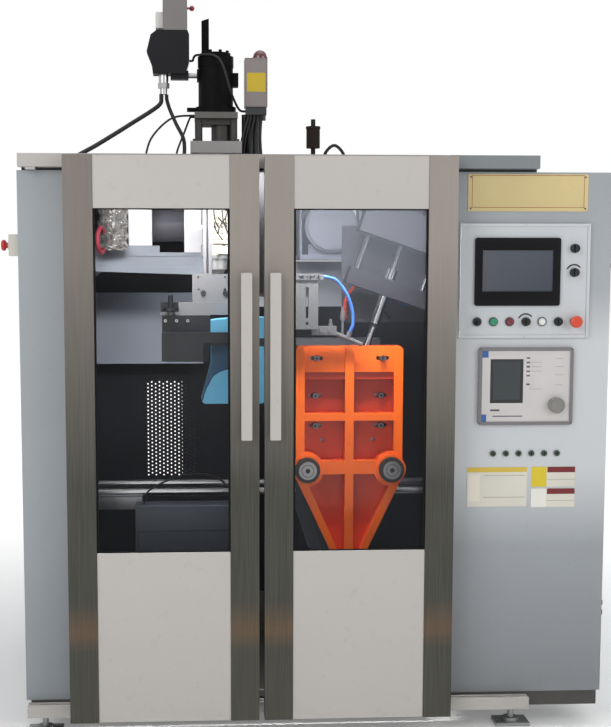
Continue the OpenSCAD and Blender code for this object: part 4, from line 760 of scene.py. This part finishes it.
# %% [markdown]
# Many parts are one solid with several surfaces: a blackened gripper block bolted to ground steel plates,
# dark pillars between pale flanges. One finish holds a list of zones, each a box on the drawing with its
# own colour, roughness and metal, and leaves the rest of the part as it was. Where a box won't do, as for a
# ring round a tie bar or a band across the tilted pin, a small function gives the zone.

# %% Parts with zones
def zoned(name, colour, roughness, metal, zones, grain=150, depth=0.05, shine=0.5):
    face = Finish(name)
    tone = face.clouds(colour, depth, 6)
    rub = face.ramp(face.noise(18, 3), 0.3, 0.7) * 0.1 + roughness
    shift = face.z * 0 + metal
    for span, zone_colour, zone_roughness, zone_metal in zones:
        mask = span(face) if callable(span) else face.zone(**span)
        tone = face.mix(mask, tone, face.clouds(zone_colour, 0.08, 9))
        rub = rub + mask * (zone_roughness - roughness)
        shift = shift + mask * (zone_metal - metal)
    return face.coat(tone, rub, shift, face.bump(face.noise(grain, 3), 0.05, 0.0004), shine=shine)


BLACKED = ink(30, 31, 34)
STEEL = ink(108, 108, 110)
CHROME = ink(214, 216, 220)
CLAMP_X = 312
TIE_XS = (CLAMP_X - 141.5, CLAMP_X + 141.5)
TIE_Z = 813
LOW_TIE_Z = 420
PIN_X = 408
PIN_Z = 1212
PIN_TILT = math.radians(19)
TIE_RADIUS = 30.3
TIE_REACH = 45
NUT_HOLE = 8
NUT_GROOVE = (19, 21)


def tie_ring(face):
    mask = face.z * 0
    for x, z in ((TIE_XS[0], TIE_Z), (TIE_XS[1], TIE_Z), (CLAMP_X, LOW_TIE_Z)):
        near = face.inside(x - TIE_REACH, x + TIE_REACH, z - TIE_REACH, z + TIE_REACH)
        mask = mask + (face.squared_reach(x, z) > TIE_RADIUS ** 2) * near
    return mask * (face.y < 344.5)


# the socket hole in each nut is painted shade, and the groove round it is a dark joint
def nut_hole_shade_and_groove(face):
    mask = face.z * 0
    for x in TIE_XS:
        reach = face.squared_reach(x, TIE_Z)
        groove = (reach > NUT_GROOVE[0] ** 2) * (reach < NUT_GROOVE[1] ** 2)
        mask = mask + (reach < NUT_HOLE ** 2) + groove
    return mask * (face.y < 330)


def across_pin(face, low, high):
    along = (face.x - PIN_X) * math.sin(PIN_TILT) + (face.z - PIN_Z) * math.cos(PIN_TILT)
    return (along > low) * (along < high)


def pin_head(face):
    return across_pin(face, 186.5, 246.5)


def pin_collar(face):
    return across_pin(face, 71.5, 83.5) * (face.z < 1300)


# painted shade: the recess under the handle of the container is darker blue
def recess_shade(face):
    floor = face.zone(y=(235.6, 236.6))
    walls = face.zone(x=(-182, -94), y=(194.5, 235.7), z=(1060, 1239.5))
    return floor + walls


ZONED = {
    "takeout_unit": (zoned("takeout_steel", STEEL, 0.34, 0.3, [
        ({"x": (-400, -62), "z": (1100, 1333.9)}, BLACKED, 0.42, 0.1),
        ({"x": (-400, -255), "z": (1344, 1420)}, ink(26, 27, 30), 0.4, 0.1),
        ({"x": (-164.6, -157.4), "z": (1470, 1900)}, ink(52, 53, 56), 0.4, 0.2),
        ({"x": (-51, 51), "z": (1403, 1900)}, ink(24, 24, 26), 0.5, 0.0)]), 0.6),
    "head_mount": (zoned("mount_steel", ink(140, 137, 137), 0.36, 0.35, [
        ({"z": (1820, 1877.5)}, ink(42, 40, 39), 0.5, 0.1),
        ({"z": (1918.5, 1996.5)}, ink(46, 44, 42), 0.5, 0.1),
        ({"z": (1996.5, 2030)}, ink(94, 91, 88), 0.45, 0.2)]), 1.0),
    "valve_manifold": (zoned("manifold_black", ink(34, 33, 36), 0.45, 0.0, [
        ({"x": (-330, -283), "z": (2000, 2149.6)}, ink(168, 168, 168), 0.24, 0.9),
        ({"x": (-218.6, -180), "z": (2134, 2162)}, ink(168, 168, 168), 0.24, 0.9)], shine=0.1), 1.2),
    "servo_valve": (zoned("valve_cover", ink(118, 113, 112), 0.42, 0.0, [
        ({"x": (-400, -306.3)}, ink(206, 204, 200), 0.45, 0.0),
        ({"x": (-215, -190)}, ink(142, 34, 40), 0.35, 0.0)]), 1.0),
    "exhaust_silencer": (zoned("silencer_brown", ink(34, 26, 22), 0.7, 0.0, [
        ({"z": (1820, 1842)}, ink(170, 168, 164), 0.3, 0.9),
        ({"z": (1983.5, 2100)}, ink(22, 21, 21), 0.5, 0.0)], shine=0.2), 0),
    "blow_pin": (zoned("pin_chrome", CHROME, 0.12, 1.0, [
        (pin_head, ink(58, 58, 64), 0.4, 0.3),
        (pin_collar, ink(36, 36, 39), 0.4, 0.3)]), 0.6),
    "tie_bars": (zoned("tie_steel", ink(140, 139, 140), 0.3, 0.9, [
        (tie_ring, ink(46, 45, 45), 0.5, 0.1),
        (nut_hole_shade_and_groove, ink(40, 38, 38), 0.5, 0.4),
        ({"y": (1150, 1700)}, ink(84, 88, 94), 0.45, 0.0)]), 0.4),
    "mould_front": (zoned("mould_steel", ink(168, 172, 176), 0.38, 0.8, [
        ({"x": (236, 354), "z": (1194, 1200)}, ink(60, 160, 126), 0.5, 0.0)]), 0.8),
    "moulded_container": (zoned("container_blue", ink(84, 146, 176), 0.34, 0.0, [
        (recess_shade, ink(42, 74, 100), 0.4, 0.0),
        ({"y": (190, 235), "z": (1236, 1262)}, ink(38, 42, 48), 0.4, 0.0)]), 2.5),
    "heater_bands": (zoned("heater_cream", ink(196, 194, 190), 0.4, 0.6, [
        ({"y": (500, 600.5)}, ink(172, 166, 152), 0.55, 0.0)]), 0.6),
}
for node_name, (finish, width) in ZONED.items():
    rounded_copy(node_name, finish, width)
print("parts with zones:", len(ZONED))

# %% [markdown]
# Two white columns and a blue-grey beam of folded sheet carry the extruder head from the roof. They are one
# welded part, so they share a solid, and the colour changes where the sprayed parts were joined.

# %% Head support
BEAM_TOP_Z = 1546
COLUMN_FOOT_Z = 1571
REAR_SHEET_Y = 1388


def support_finish():
    paint = Finish("support_coat")
    columns = (paint.z > COLUMN_FOOT_Z) + (paint.z > BEAM_TOP_Z) * (paint.x > -250)
    beam_blue = paint.clouds(ink(124, 129, 138), 0.05, 5)
    tone = paint.mix(columns, beam_blue, paint.clouds(ink(198, 198, 202), 0.02, 5))
    tone = paint.mix(paint.y > REAR_SHEET_Y, tone, paint.clouds(ink(125, 130, 141), 0.07, 2))
    smoke = paint.ramp(paint.noise(9, 4), 0.55, 0.8)
    tone = paint.mix(smoke * 0.2, tone, ink(88, 92, 98))
    return paint.coat(tone, 0.4, normal=paint.bump(paint.noise(300, 2), 0.05, 0.0005))


rounded_copy("head_support", support_finish(), 1.0)
print("head support finished")

# %% [markdown]
# Aluminium foil wrapped round a hot duct crumples into flat facets with sharp folds. A tube with many rings
# is pushed in and out at random, then left flat shaded, because real foil has no smooth curve anywhere.

# %% Foil duct, drum and red ring
def foil_finish():
    foil = Finish("crumpled_foil")
    folds = foil.noise(28, 5)
    tone = foil.mix(foil.ramp(folds, 0.35, 0.65), ink(196, 190, 188), ink(246, 244, 240))
    return foil.coat(tone, 0.24, 0.9, foil.bump(folds, 0.6, 0.004))


DUCT_X = -495
DUCT_Y = 828
DUCT_Z = (1551, 1825)
DUCT_STEPS = 44
DUCT_SIDES = 36


def foil_duct():
    rng = random.Random(7)
    form = bmesh.new()
    rings = []
    for i in range(DUCT_STEPS + 1):
        z = DUCT_Z[0] + (DUCT_Z[1] - DUCT_Z[0]) * i / DUCT_STEPS
        waist = 53 + 4 * math.sin(i * 0.9)
        ring = []
        for k in range(DUCT_SIDES):
            angle = 2 * math.pi * k / DUCT_SIDES
            r = waist + rng.uniform(-4.5, 1.0)
            ring.append(form.verts.new(at(DUCT_X + r * math.cos(angle), DUCT_Y + r * math.sin(angle),
                                          z + rng.uniform(-2, 2) * (0 < i < DUCT_STEPS))))
        rings.append(ring)
    for low, high in zip(rings, rings[1:]):
        for k in range(DUCT_SIDES):
            m = (k + 1) % DUCT_SIDES
            form.faces.new((low[k], low[m], high[m], high[k]))
    form.faces.new(list(reversed(rings[0])))
    form.faces.new(rings[-1])
    bmesh.ops.triangulate(form, faces=[f for f in form.faces if len(f.verts) == 4])
    return keep_piece("foil_duct", form, [foil_finish()], "machine", even=False)


RING_BACK_Y = 770
DUCT_SPAN_Y = (765, 900)


def drum_and_ring():
    form = clean_copy("drum_and_duct")
    depth_of = {face: face.calc_center_median().y * 1000 + GAP_Y for face in form.faces}
    duct = [face for face in form.faces if DUCT_SPAN_Y[0] < depth_of[face] < DUCT_SPAN_Y[1]]
    for face in form.faces:
        face.material_index = 1 if depth_of[face] < RING_BACK_Y else 0
    bmesh.ops.delete(form, geom=duct, context="FACES")
    sharpen(form)
    dark = powder("drum_coat", ink(92, 92, 98), gloss=0.3)
    return keep_piece("dark_drum", form, [dark, red_cap], "machine", "drum_and_duct")


foil_duct()
drum_and_ring()
print("foil duct, drum and red ring")

# %% [markdown]
# A hose is a round section carried along a smooth line. Geometry Nodes do just that: the points become a
# curve, the curve is resampled evenly, and a circle is swept along it. Ribs for a corrugated hose come from
# the same tree, by letting the radius swell in a wave along the length.

# %% Node tree for hoses and wires
def tree_with(name, inputs):
    tree = bpy.data.node_groups.new(name, "GeometryNodeTree")
    tree.interface.new_socket("Geometry", in_out="INPUT", socket_type="NodeSocketGeometry")
    for label, kind, value in inputs:
        socket = tree.interface.new_socket(label, in_out="INPUT", socket_type=kind)
        if value is not None:
            socket.default_value = value
    tree.interface.new_socket("Geometry", in_out="OUTPUT", socket_type="NodeSocketGeometry")
    return tree


def hose_tree():
    tree = tree_with("hose_sweep", [
        ("Radius", "NodeSocketFloat", 0.005), ("Step", "NodeSocketFloat", 0.004),
        ("Rib Depth", "NodeSocketFloat", 0.0), ("Rib Pitch", "NodeSocketFloat", 0.01),
        ("Finish", "NodeSocketMaterial", None)])
    given = wire(tree, "NodeGroupInput")
    line = wire(tree, "GeometryNodeMeshToCurve", {"Mesh": given.outputs["Geometry"]})
    even = wire(tree, "GeometryNodeResampleCurve",
                {"Curve": line.outputs[0], "Length": given.outputs["Step"]}, mode="LENGTH")
    along = wire(tree, "GeometryNodeSplineParameter")
    phase = wire(tree, "ShaderNodeMath", {0: along.outputs["Length"], 1: given.outputs["Rib Pitch"]},
                 operation="DIVIDE")
    turns = wire(tree, "ShaderNodeMath", {0: phase.outputs[0]}, {1: 2 * math.pi}, operation="MULTIPLY")
    wave = wire(tree, "ShaderNodeMath", {0: turns.outputs[0]}, operation="SINE")
    swell = wire(tree, "ShaderNodeMath", {0: wave.outputs[0], 1: given.outputs["Rib Depth"]},
                 operation="MULTIPLY")
    size = wire(tree, "ShaderNodeMath", {0: swell.outputs[0], 1: given.outputs["Radius"]}, operation="ADD")
    sized = wire(tree, "GeometryNodeSetCurveRadius", {"Curve": even.outputs[0], "Radius": size.outputs[0]})
    section = wire(tree, "GeometryNodeCurvePrimitiveCircle", values={"Resolution": 14, "Radius": 1.0})
    swept = wire(tree, "GeometryNodeCurveToMesh",
                 {"Curve": sized.outputs[0], "Profile Curve": section.outputs[0], "Scale": size.outputs[0]},
                 {"Fill Caps": True})
    real = wire(tree, "GeometryNodeRealizeInstances", {"Geometry": swept.outputs[0]})
    dressed = wire(tree, "GeometryNodeSetMaterial", {"Geometry": real.outputs[0],
                                                     "Material": given.outputs["Finish"]})
    wire(tree, "NodeGroupOutput", {"Geometry": dressed.outputs[0]})
    return tree


HOSE_TREE = hose_tree()
print("hose tree inputs:", [i.name for i in HOSE_TREE.interface.items_tree if i.in_out == "INPUT"])

# %% [markdown]
# A tree works on an object with a modifier. A seed mesh holds the points and edges, the tree grows the
# shape on it, and the result is copied into a plain mesh before the seed goes. The lines follow the same
# points as the solids, so a dressed hose lies where its solid lies. Between the points the line is a cubic
# that passes through each of them, straight at both ends where a fitting holds it.

# %% Growing a shape and smoothing a line
def grown(name, points, edges, tree, values):
    seed = bpy.data.meshes.new(name + "_seed")
    seed.from_pydata([tuple(p) for p in points], edges, [])
    holder = bpy.data.objects.new(name + "_seed", seed)
    scene.collection.objects.link(holder)
    growing = holder.modifiers.new("grow", "NODES")
    growing.node_group = tree
    for item in tree.interface.items_tree:
        if item.in_out == "INPUT" and item.name in values:
            growing[item.identifier] = values[item.name]
    bpy.context.view_layer.update()
    result = bpy.data.meshes.new_from_object(holder.evaluated_get(bpy.context.evaluated_depsgraph_get()))
    holder.modifiers.remove(growing)
    bpy.data.objects.remove(holder)
    result.name = name
    return result


def smooth_line(points, steps=8):
    points = [Vector(p) for p in points]
    line = [points[0]]
    for i in range(1, len(points) - 2):
        a, b, c, d = points[i - 1], points[i], points[i + 1], points[i + 2]
        for k in range(steps):
            t = k / steps
            line.append(0.5 * (2 * b + (c - a) * t + (2 * a - 5 * b + 4 * c - d) * t * t
                               + (3 * b - a - 3 * c + d) * t * t * t))
    return line + [points[-2], points[-1]]


print("a straight hose of 5 points gets", len(smooth_line([(0, 0, k) for k in range(5)])), "points")

# %% [markdown]
# The routes are read from the photograph, from fitting to fitting, and their depth from the pieces that
# they join. Hydraulic hoses and the valve cable are black rubber, and two of the air hoses are blue and red.
# Both ends of each one are on the machine.

# %% Hoses
MANI_X = -285.0
HOSE_X = -305.0
MANI_Z = 2150.0
MOUTH_Z = 2084.0
ROOF_Z = 1830.3
FLANGE_L = -199.0
FLANGE_Z = 1997.0
ACT_Z = 2018.0
HEAD_X = -125.0
THIN_RADIUS = 2
TOP_ROUTES = [
    ("roof_hose_long", 7.4, 0.0, rubber, [
        (HOSE_X - 8, 640, MOUTH_Z - 0.3), (HOSE_X - 8, 640, MOUTH_Z - 14), (HOSE_X - 20, 622, MOUTH_Z - 44),
        (-420, 545, ROOF_Z + 138), (-520, 452, ROOF_Z + 64), (-590, 390, ROOF_Z + 16), (-590, 390, ROOF_Z)]),
    ("roof_hose_short", 6.5, 0.0, rubber, [
        (HOSE_X + 10, 656, MOUTH_Z - 0.3), (HOSE_X + 10, 656, MOUTH_Z - 14), (HOSE_X + 20, 640, MOUTH_Z - 50),
        (HOSE_X + 42, 605, ROOF_Z + 150), (-236, 560, ROOF_Z + 88), (-236, 538, ROOF_Z + 16),
        (-236, 538, ROOF_Z)]),
    ("flange_hose_left", 3.5, 0.0, rubber, [
        (-368, 500, ROOF_Z), (-368, 500, ROOF_Z + 12), (-345, 505, ROOF_Z + 90), (-280, 520, ROOF_Z + 156),
        (FLANGE_L - 14, 600, FLANGE_Z + 10), (FLANGE_L - 0.3, 600, FLANGE_Z + 10)]),
    ("flange_hose_right", 3.5, 0.0, rubber, [
        (-263, 500, ROOF_Z), (-263, 500, ROOF_Z + 12), (-258, 510, ROOF_Z + 50), (-236, 550, ROOF_Z + 110),
        (FLANGE_L - 14, 612, FLANGE_Z + 6), (FLANGE_L - 0.3, 612, FLANGE_Z + 6)]),
    ("valve_signal_cable", 4.0, 0.4, rubber, [
        (MANI_X + 69.4, 638, MANI_Z + 46), (MANI_X + 80, 638, MANI_Z + 46), (MANI_X + 96, 610, MANI_Z + 62),
        (HEAD_X + 10, 560, MANI_Z + 42), (HEAD_X + 50, 556, ACT_Z + 62), (-50, 600, ACT_Z + 16),
        (-34, 632, ACT_Z + 8), (-22.4, 632, ACT_Z + 8)]),
    ("roof_loop_hose", 5.5, 0.4, rubber, [
        (254, 700, ROOF_Z), (254, 700, ROOF_Z + 12), (262, 700, ROOF_Z + 60), (294, 700, ROOF_Z + 88),
        (326, 700, ROOF_Z + 60), (334, 700, ROOF_Z + 12), (334, 700, ROOF_Z)]),
]
AIR_ROUTES = [
    ("nozzle_hose_blue", 5.4, 0.0, blue_tube, [
        (216.3, 287, 1457), (228, 287, 1457), (262, 300, 1444), (296, 310, 1400), (316, 322, 1345),
        (317.3, 326, 1295.8), (309.7, 326, 1277.9)]),
    ("pin_hose_red", 5.4, 0.0, red_tube, [
        (400, 814.6, 1430), (400, 803, 1430), (385, 788, 1424), (352, 780, 1385), (346, 786, 1330),
        (352, 803, 1305), (352, 814.6, 1305)]),
    ("chest_hose_thin", 3.0, 0.0, rubber, [
        (-372, 250, 720.3), (-372, 250, 730), (-350, 250, 768), (-250, 250, 812), (-150, 250, 812),
        (-95, 250, 770), (-82, 250, 730), (-82, 250, 720.3)]),
]


def lay_hoses(routes, node=None):
    for name, radius, rib, finish, points in routes:
        line = [at(*p) for p in smooth_line(points)]
        mesh = grown(name, line, [(k, k + 1) for k in range(len(line) - 1)], HOSE_TREE,
                     {"Radius": radius / 1000, "Step": 0.004 if radius > THIN_RADIUS else 0.005,
                      "Rib Depth": rib / 1000, "Rib Pitch": 0.012, "Finish": finish})
        form = bmesh.new()
        form.from_mesh(mesh)
        bpy.data.meshes.remove(mesh)
        bmesh.ops.recalc_face_normals(form, faces=form.faces)
        sharpen(form, 50)
        hose = keep_piece(name, form, [finish], "machine", node, even=False)
        2 * radius / 1000


lay_hoses(TOP_ROUTES, "top_hoses")
lay_hoses(AIR_ROUTES, "air_hoses")

# %% [markdown]
# Five cables drop from the gland plate of the terminal box into the roof, and short heat-proof wires loop
# between the terminals of the heater bands. Small coloured air tubes bend over the plate of the blow unit.
# Each keeps its own line. Only the ends differ from one to the next, so each kind is a list of ends.

# %% Cables and small tubes
BOX_Y = 632
CABLE_ENDS = ((-14, -46, 606), (-4, -34, 622), (8, -12, 618), (20, 12, 612), (32, 34, 622))
WIRE_ENDS = ((-134, 1684, -120, 1628), (-120, 1662, -98, 1640), (-106, 1684, -86, 1606),
             (-134, 1640, -106, 1584), (-92, 1662, -120, 1606), (-86, 1684, -92, 1628))
TUBE_ENDS = ((520, 1402, 596, 1352, red_tube), (544, 1388, 622, 1366, green_tube),
             (560, 1352, 630, 1338, blue_tube), (470, 1342, 512, 1306, rubber))
heat_wire = plastic("heat_wire", ink(40, 38, 38), 0.5, 0.1, shine=0.3)
CABLES = [(f"terminal_cable_{k + 1}", 4.6, 0.0, rubber, [
    (x0, BOX_Y, ACT_Z - 0.3), (x0, BOX_Y, ACT_Z - 14), ((x0 + x1) / 2 - 5, y1 + 2, 1930),
    (x1, y1, ROOF_Z + 16), (x1, y1, ROOF_Z)]) for k, (x0, x1, y1) in enumerate(CABLE_ENDS)]
WIRES = [(f"heater_wire_{k + 1}", 1.9, 0.0, heat_wire, [
    (x0, 581.7, z0), (x0, 575, z0), ((x0 + x1) / 2 - 6, 565 - k, (z0 + z1) / 2),
    (x1, 575, z1), (x1, 581.7, z1)]) for k, (x0, z0, x1, z1) in enumerate(WIRE_ENDS)]
TUBES = [(f"pin_tube_{k + 1}", 3.6, 0.0, finish, [
    (x0, 814.7, z0), (x0, 803, z0), (x0 * 0.6 + x1 * 0.4, 786, (z0 + z1) / 2 + 12),
    (x1, 803, z1), (x1, 814.7, z1)]) for k, (x0, z0, x1, z1, finish) in enumerate(TUBE_ENDS)]
lay_hoses(CABLES)
lay_hoses(WIRES)
lay_hoses(TUBES)
print("cables, wires and tubes:", len(CABLES) + len(WIRES) + len(TUBES))

# %% [markdown]
# Screws repeat the same small form many times, which suits Geometry Nodes: a list of places becomes points,
# and each point carries a chamfered head with a dark hexagon in it, painted shade for the hole of the hex
# socket. The tree asks for the sizes by name, so one tree serves the panel screws, the gripper block and the
# big bolts of the platen.

# %% Screw heads
def screw_tree():
    tree = tree_with("screw_heads", [
        ("Radius", "NodeSocketFloat", 0.004), ("Height", "NodeSocketFloat", 0.002),
        ("Turn", "NodeSocketVector", None), ("Head", "NodeSocketMaterial", None),
        ("Socket Shade", "NodeSocketMaterial", None)])
    given = wire(tree, "NodeGroupInput")
    joined = wire(tree, "GeometryNodeJoinGeometry")
    # the dark hexagon is painted shade standing for the hole of the hex socket
    for sides, wide, high, label in ((20, 1.0, 1.0, "Head"), (6, 0.5, 1.04, "Socket Shade")):
        low = wire(tree, "ShaderNodeMath", {0: given.outputs["Radius"]}, {1: wide}, operation="MULTIPLY")
        top = wire(tree, "ShaderNodeMath", {0: low.outputs[0]}, {1: 0.86}, operation="MULTIPLY")
        deep = wire(tree, "ShaderNodeMath", {0: given.outputs["Height"]}, {1: high}, operation="MULTIPLY")
        cone = wire(tree, "GeometryNodeMeshCone",
                    {"Radius Bottom": low.outputs[0], "Radius Top": top.outputs[0], "Depth": deep.outputs[0]},
                    {"Vertices": sides})
        spread = wire(tree, "GeometryNodeInstanceOnPoints",
                      {"Points": given.outputs["Geometry"], "Instance": cone.outputs["Mesh"],
                       "Rotation": given.outputs["Turn"]})
        real = wire(tree, "GeometryNodeRealizeInstances", {"Geometry": spread.outputs[0]})
        dressed = wire(tree, "GeometryNodeSetMaterial", {"Geometry": real.outputs[0],
                                                         "Material": given.outputs[label]})
        tree.links.new(dressed.outputs[0], joined.inputs[0])
    wire(tree, "NodeGroupOutput", {"Geometry": joined.outputs[0]})
    return tree


SCREW_TREE = screw_tree()
FACING_FRONT = (math.pi / 2, 0.0, 0.0)


def screw_heads(name, places, radius, height, head, slot, body="machine"):
    mesh = grown(name, [at(*p) for p in places], [], SCREW_TREE,
                 {"Radius": radius / 1000, "Height": height / 1000, "Turn": FACING_FRONT, "Head": head,
                  "Socket Shade": soft_black})
    form = bmesh.new()
    form.from_mesh(mesh)
    finishes = list(mesh.materials)
    bpy.data.meshes.remove(mesh)
    sharpen(form, 30)
    return keep_piece(name, form, finishes, body, even=False)


def rows(xs, y, zs):
    return [(x, y, z) for x in xs for z in zs]


dark_screw = bright("dark_screw", (0.16, 0.16, 0.17, 1), 0.32)
pale_screw = bright("pale_screw", (0.62, 0.62, 0.63, 1), 0.28)
PLATEN_SEATS = ((349, 1187), (386, 1059), (386, 957))
SCREWS = (
    ("panel_screws", rows((631.5, 832, 1031.5), 89, (1271, 1618.5)), 3.4, 1.6, pale_screw, "panel_paint"),
    ("plate_screws", rows((657, 1019), 96.5, (1670, 1767)), 3.2, 1.2, dark_screw, "plate_metal"),
    ("controller_screws", rows((694.5, 986.5), 88, (996, 1230)), 2.8, 1.2, dark_screw, "bezel_plastic"),
    ("strip_screws", rows(range(70, 201, 26), 284, (1457,)), 4.6, 3.2, dark_screw, "takeout_metal"),
    ("gripper_screws", rows((-298, -262, -226), 262, (1316, 1200)), 5.2, 3.6, pale_screw, "takeout_metal"),
    ("plate_bolts", rows((-175, -104), 290, (1405,)), 9.0, 5.0, dark_screw, "takeout_metal"),
    ("gripper_dots", rows(range(-292, -201, 9), 262, (1225,)), 2.4, 1.2, pale_screw, "takeout_metal"),
    ("platen_bolts", [(x, y, z) for x in (CLAMP_X - 111, CLAMP_X + 111) for y, z in PLATEN_SEATS], 10.8, 4.0,
     dark_screw, "bar_chrome", "clamp_front"),
    ("heater_screws", rows((-134, -120, -106, -92), 582, (1584, 1606, 1628, 1640, 1662, 1684)), 3.4, 2.6,
     pale_screw, "heater_cover"),
)
for row in SCREWS:
    screw_heads(*row)
    print(row[0], "has", len(row[1]), "heads")

# %% [markdown]
# A black rubber seal runs round each pane where it meets the door. It is one strip with a rounded front,
# mitred at the four corners, and it slides with its door.

# %% Window seals
SEAL_SECTION = ((0.0, 11.7), (0.0, 8.6), (1.6, 7.4), (4.6, 7.4), (6.2, 8.6), (6.2, 11.7))
PANE_Z0 = 607.5
PANE_Z1 = 1665.5


def window_seal(name, x0, x1, body):
    form = bmesh.new()
    rings = []
    for inset, y in SEAL_SECTION:
        left, right, low_z, high_z = x0 + inset, x1 - inset, PANE_Z0 + inset, PANE_Z1 - inset
        corners = ((left, low_z), (right, low_z), (right, high_z), (left, high_z))
        rings.append([form.verts.new(at(x, y, z)) for x, z in corners])
    for first, second in zip(rings, rings[1:] + rings[:1]):
        for k in range(4):
            m = (k + 1) % 4
            form.faces.new((first[k], first[m], second[m], second[k]))
    bmesh.ops.recalc_face_normals(form, faces=form.faces)
    sharpen(form, 50)
    return keep_piece(name, form, [soft_black], body)


window_seal("left_window_seal", -508.5, -97.5, "left_door")
window_seal("right_window_seal", 97.5, 508.5, "right_door")
print("seal section points:", len(SEAL_SECTION))

# %% [markdown]
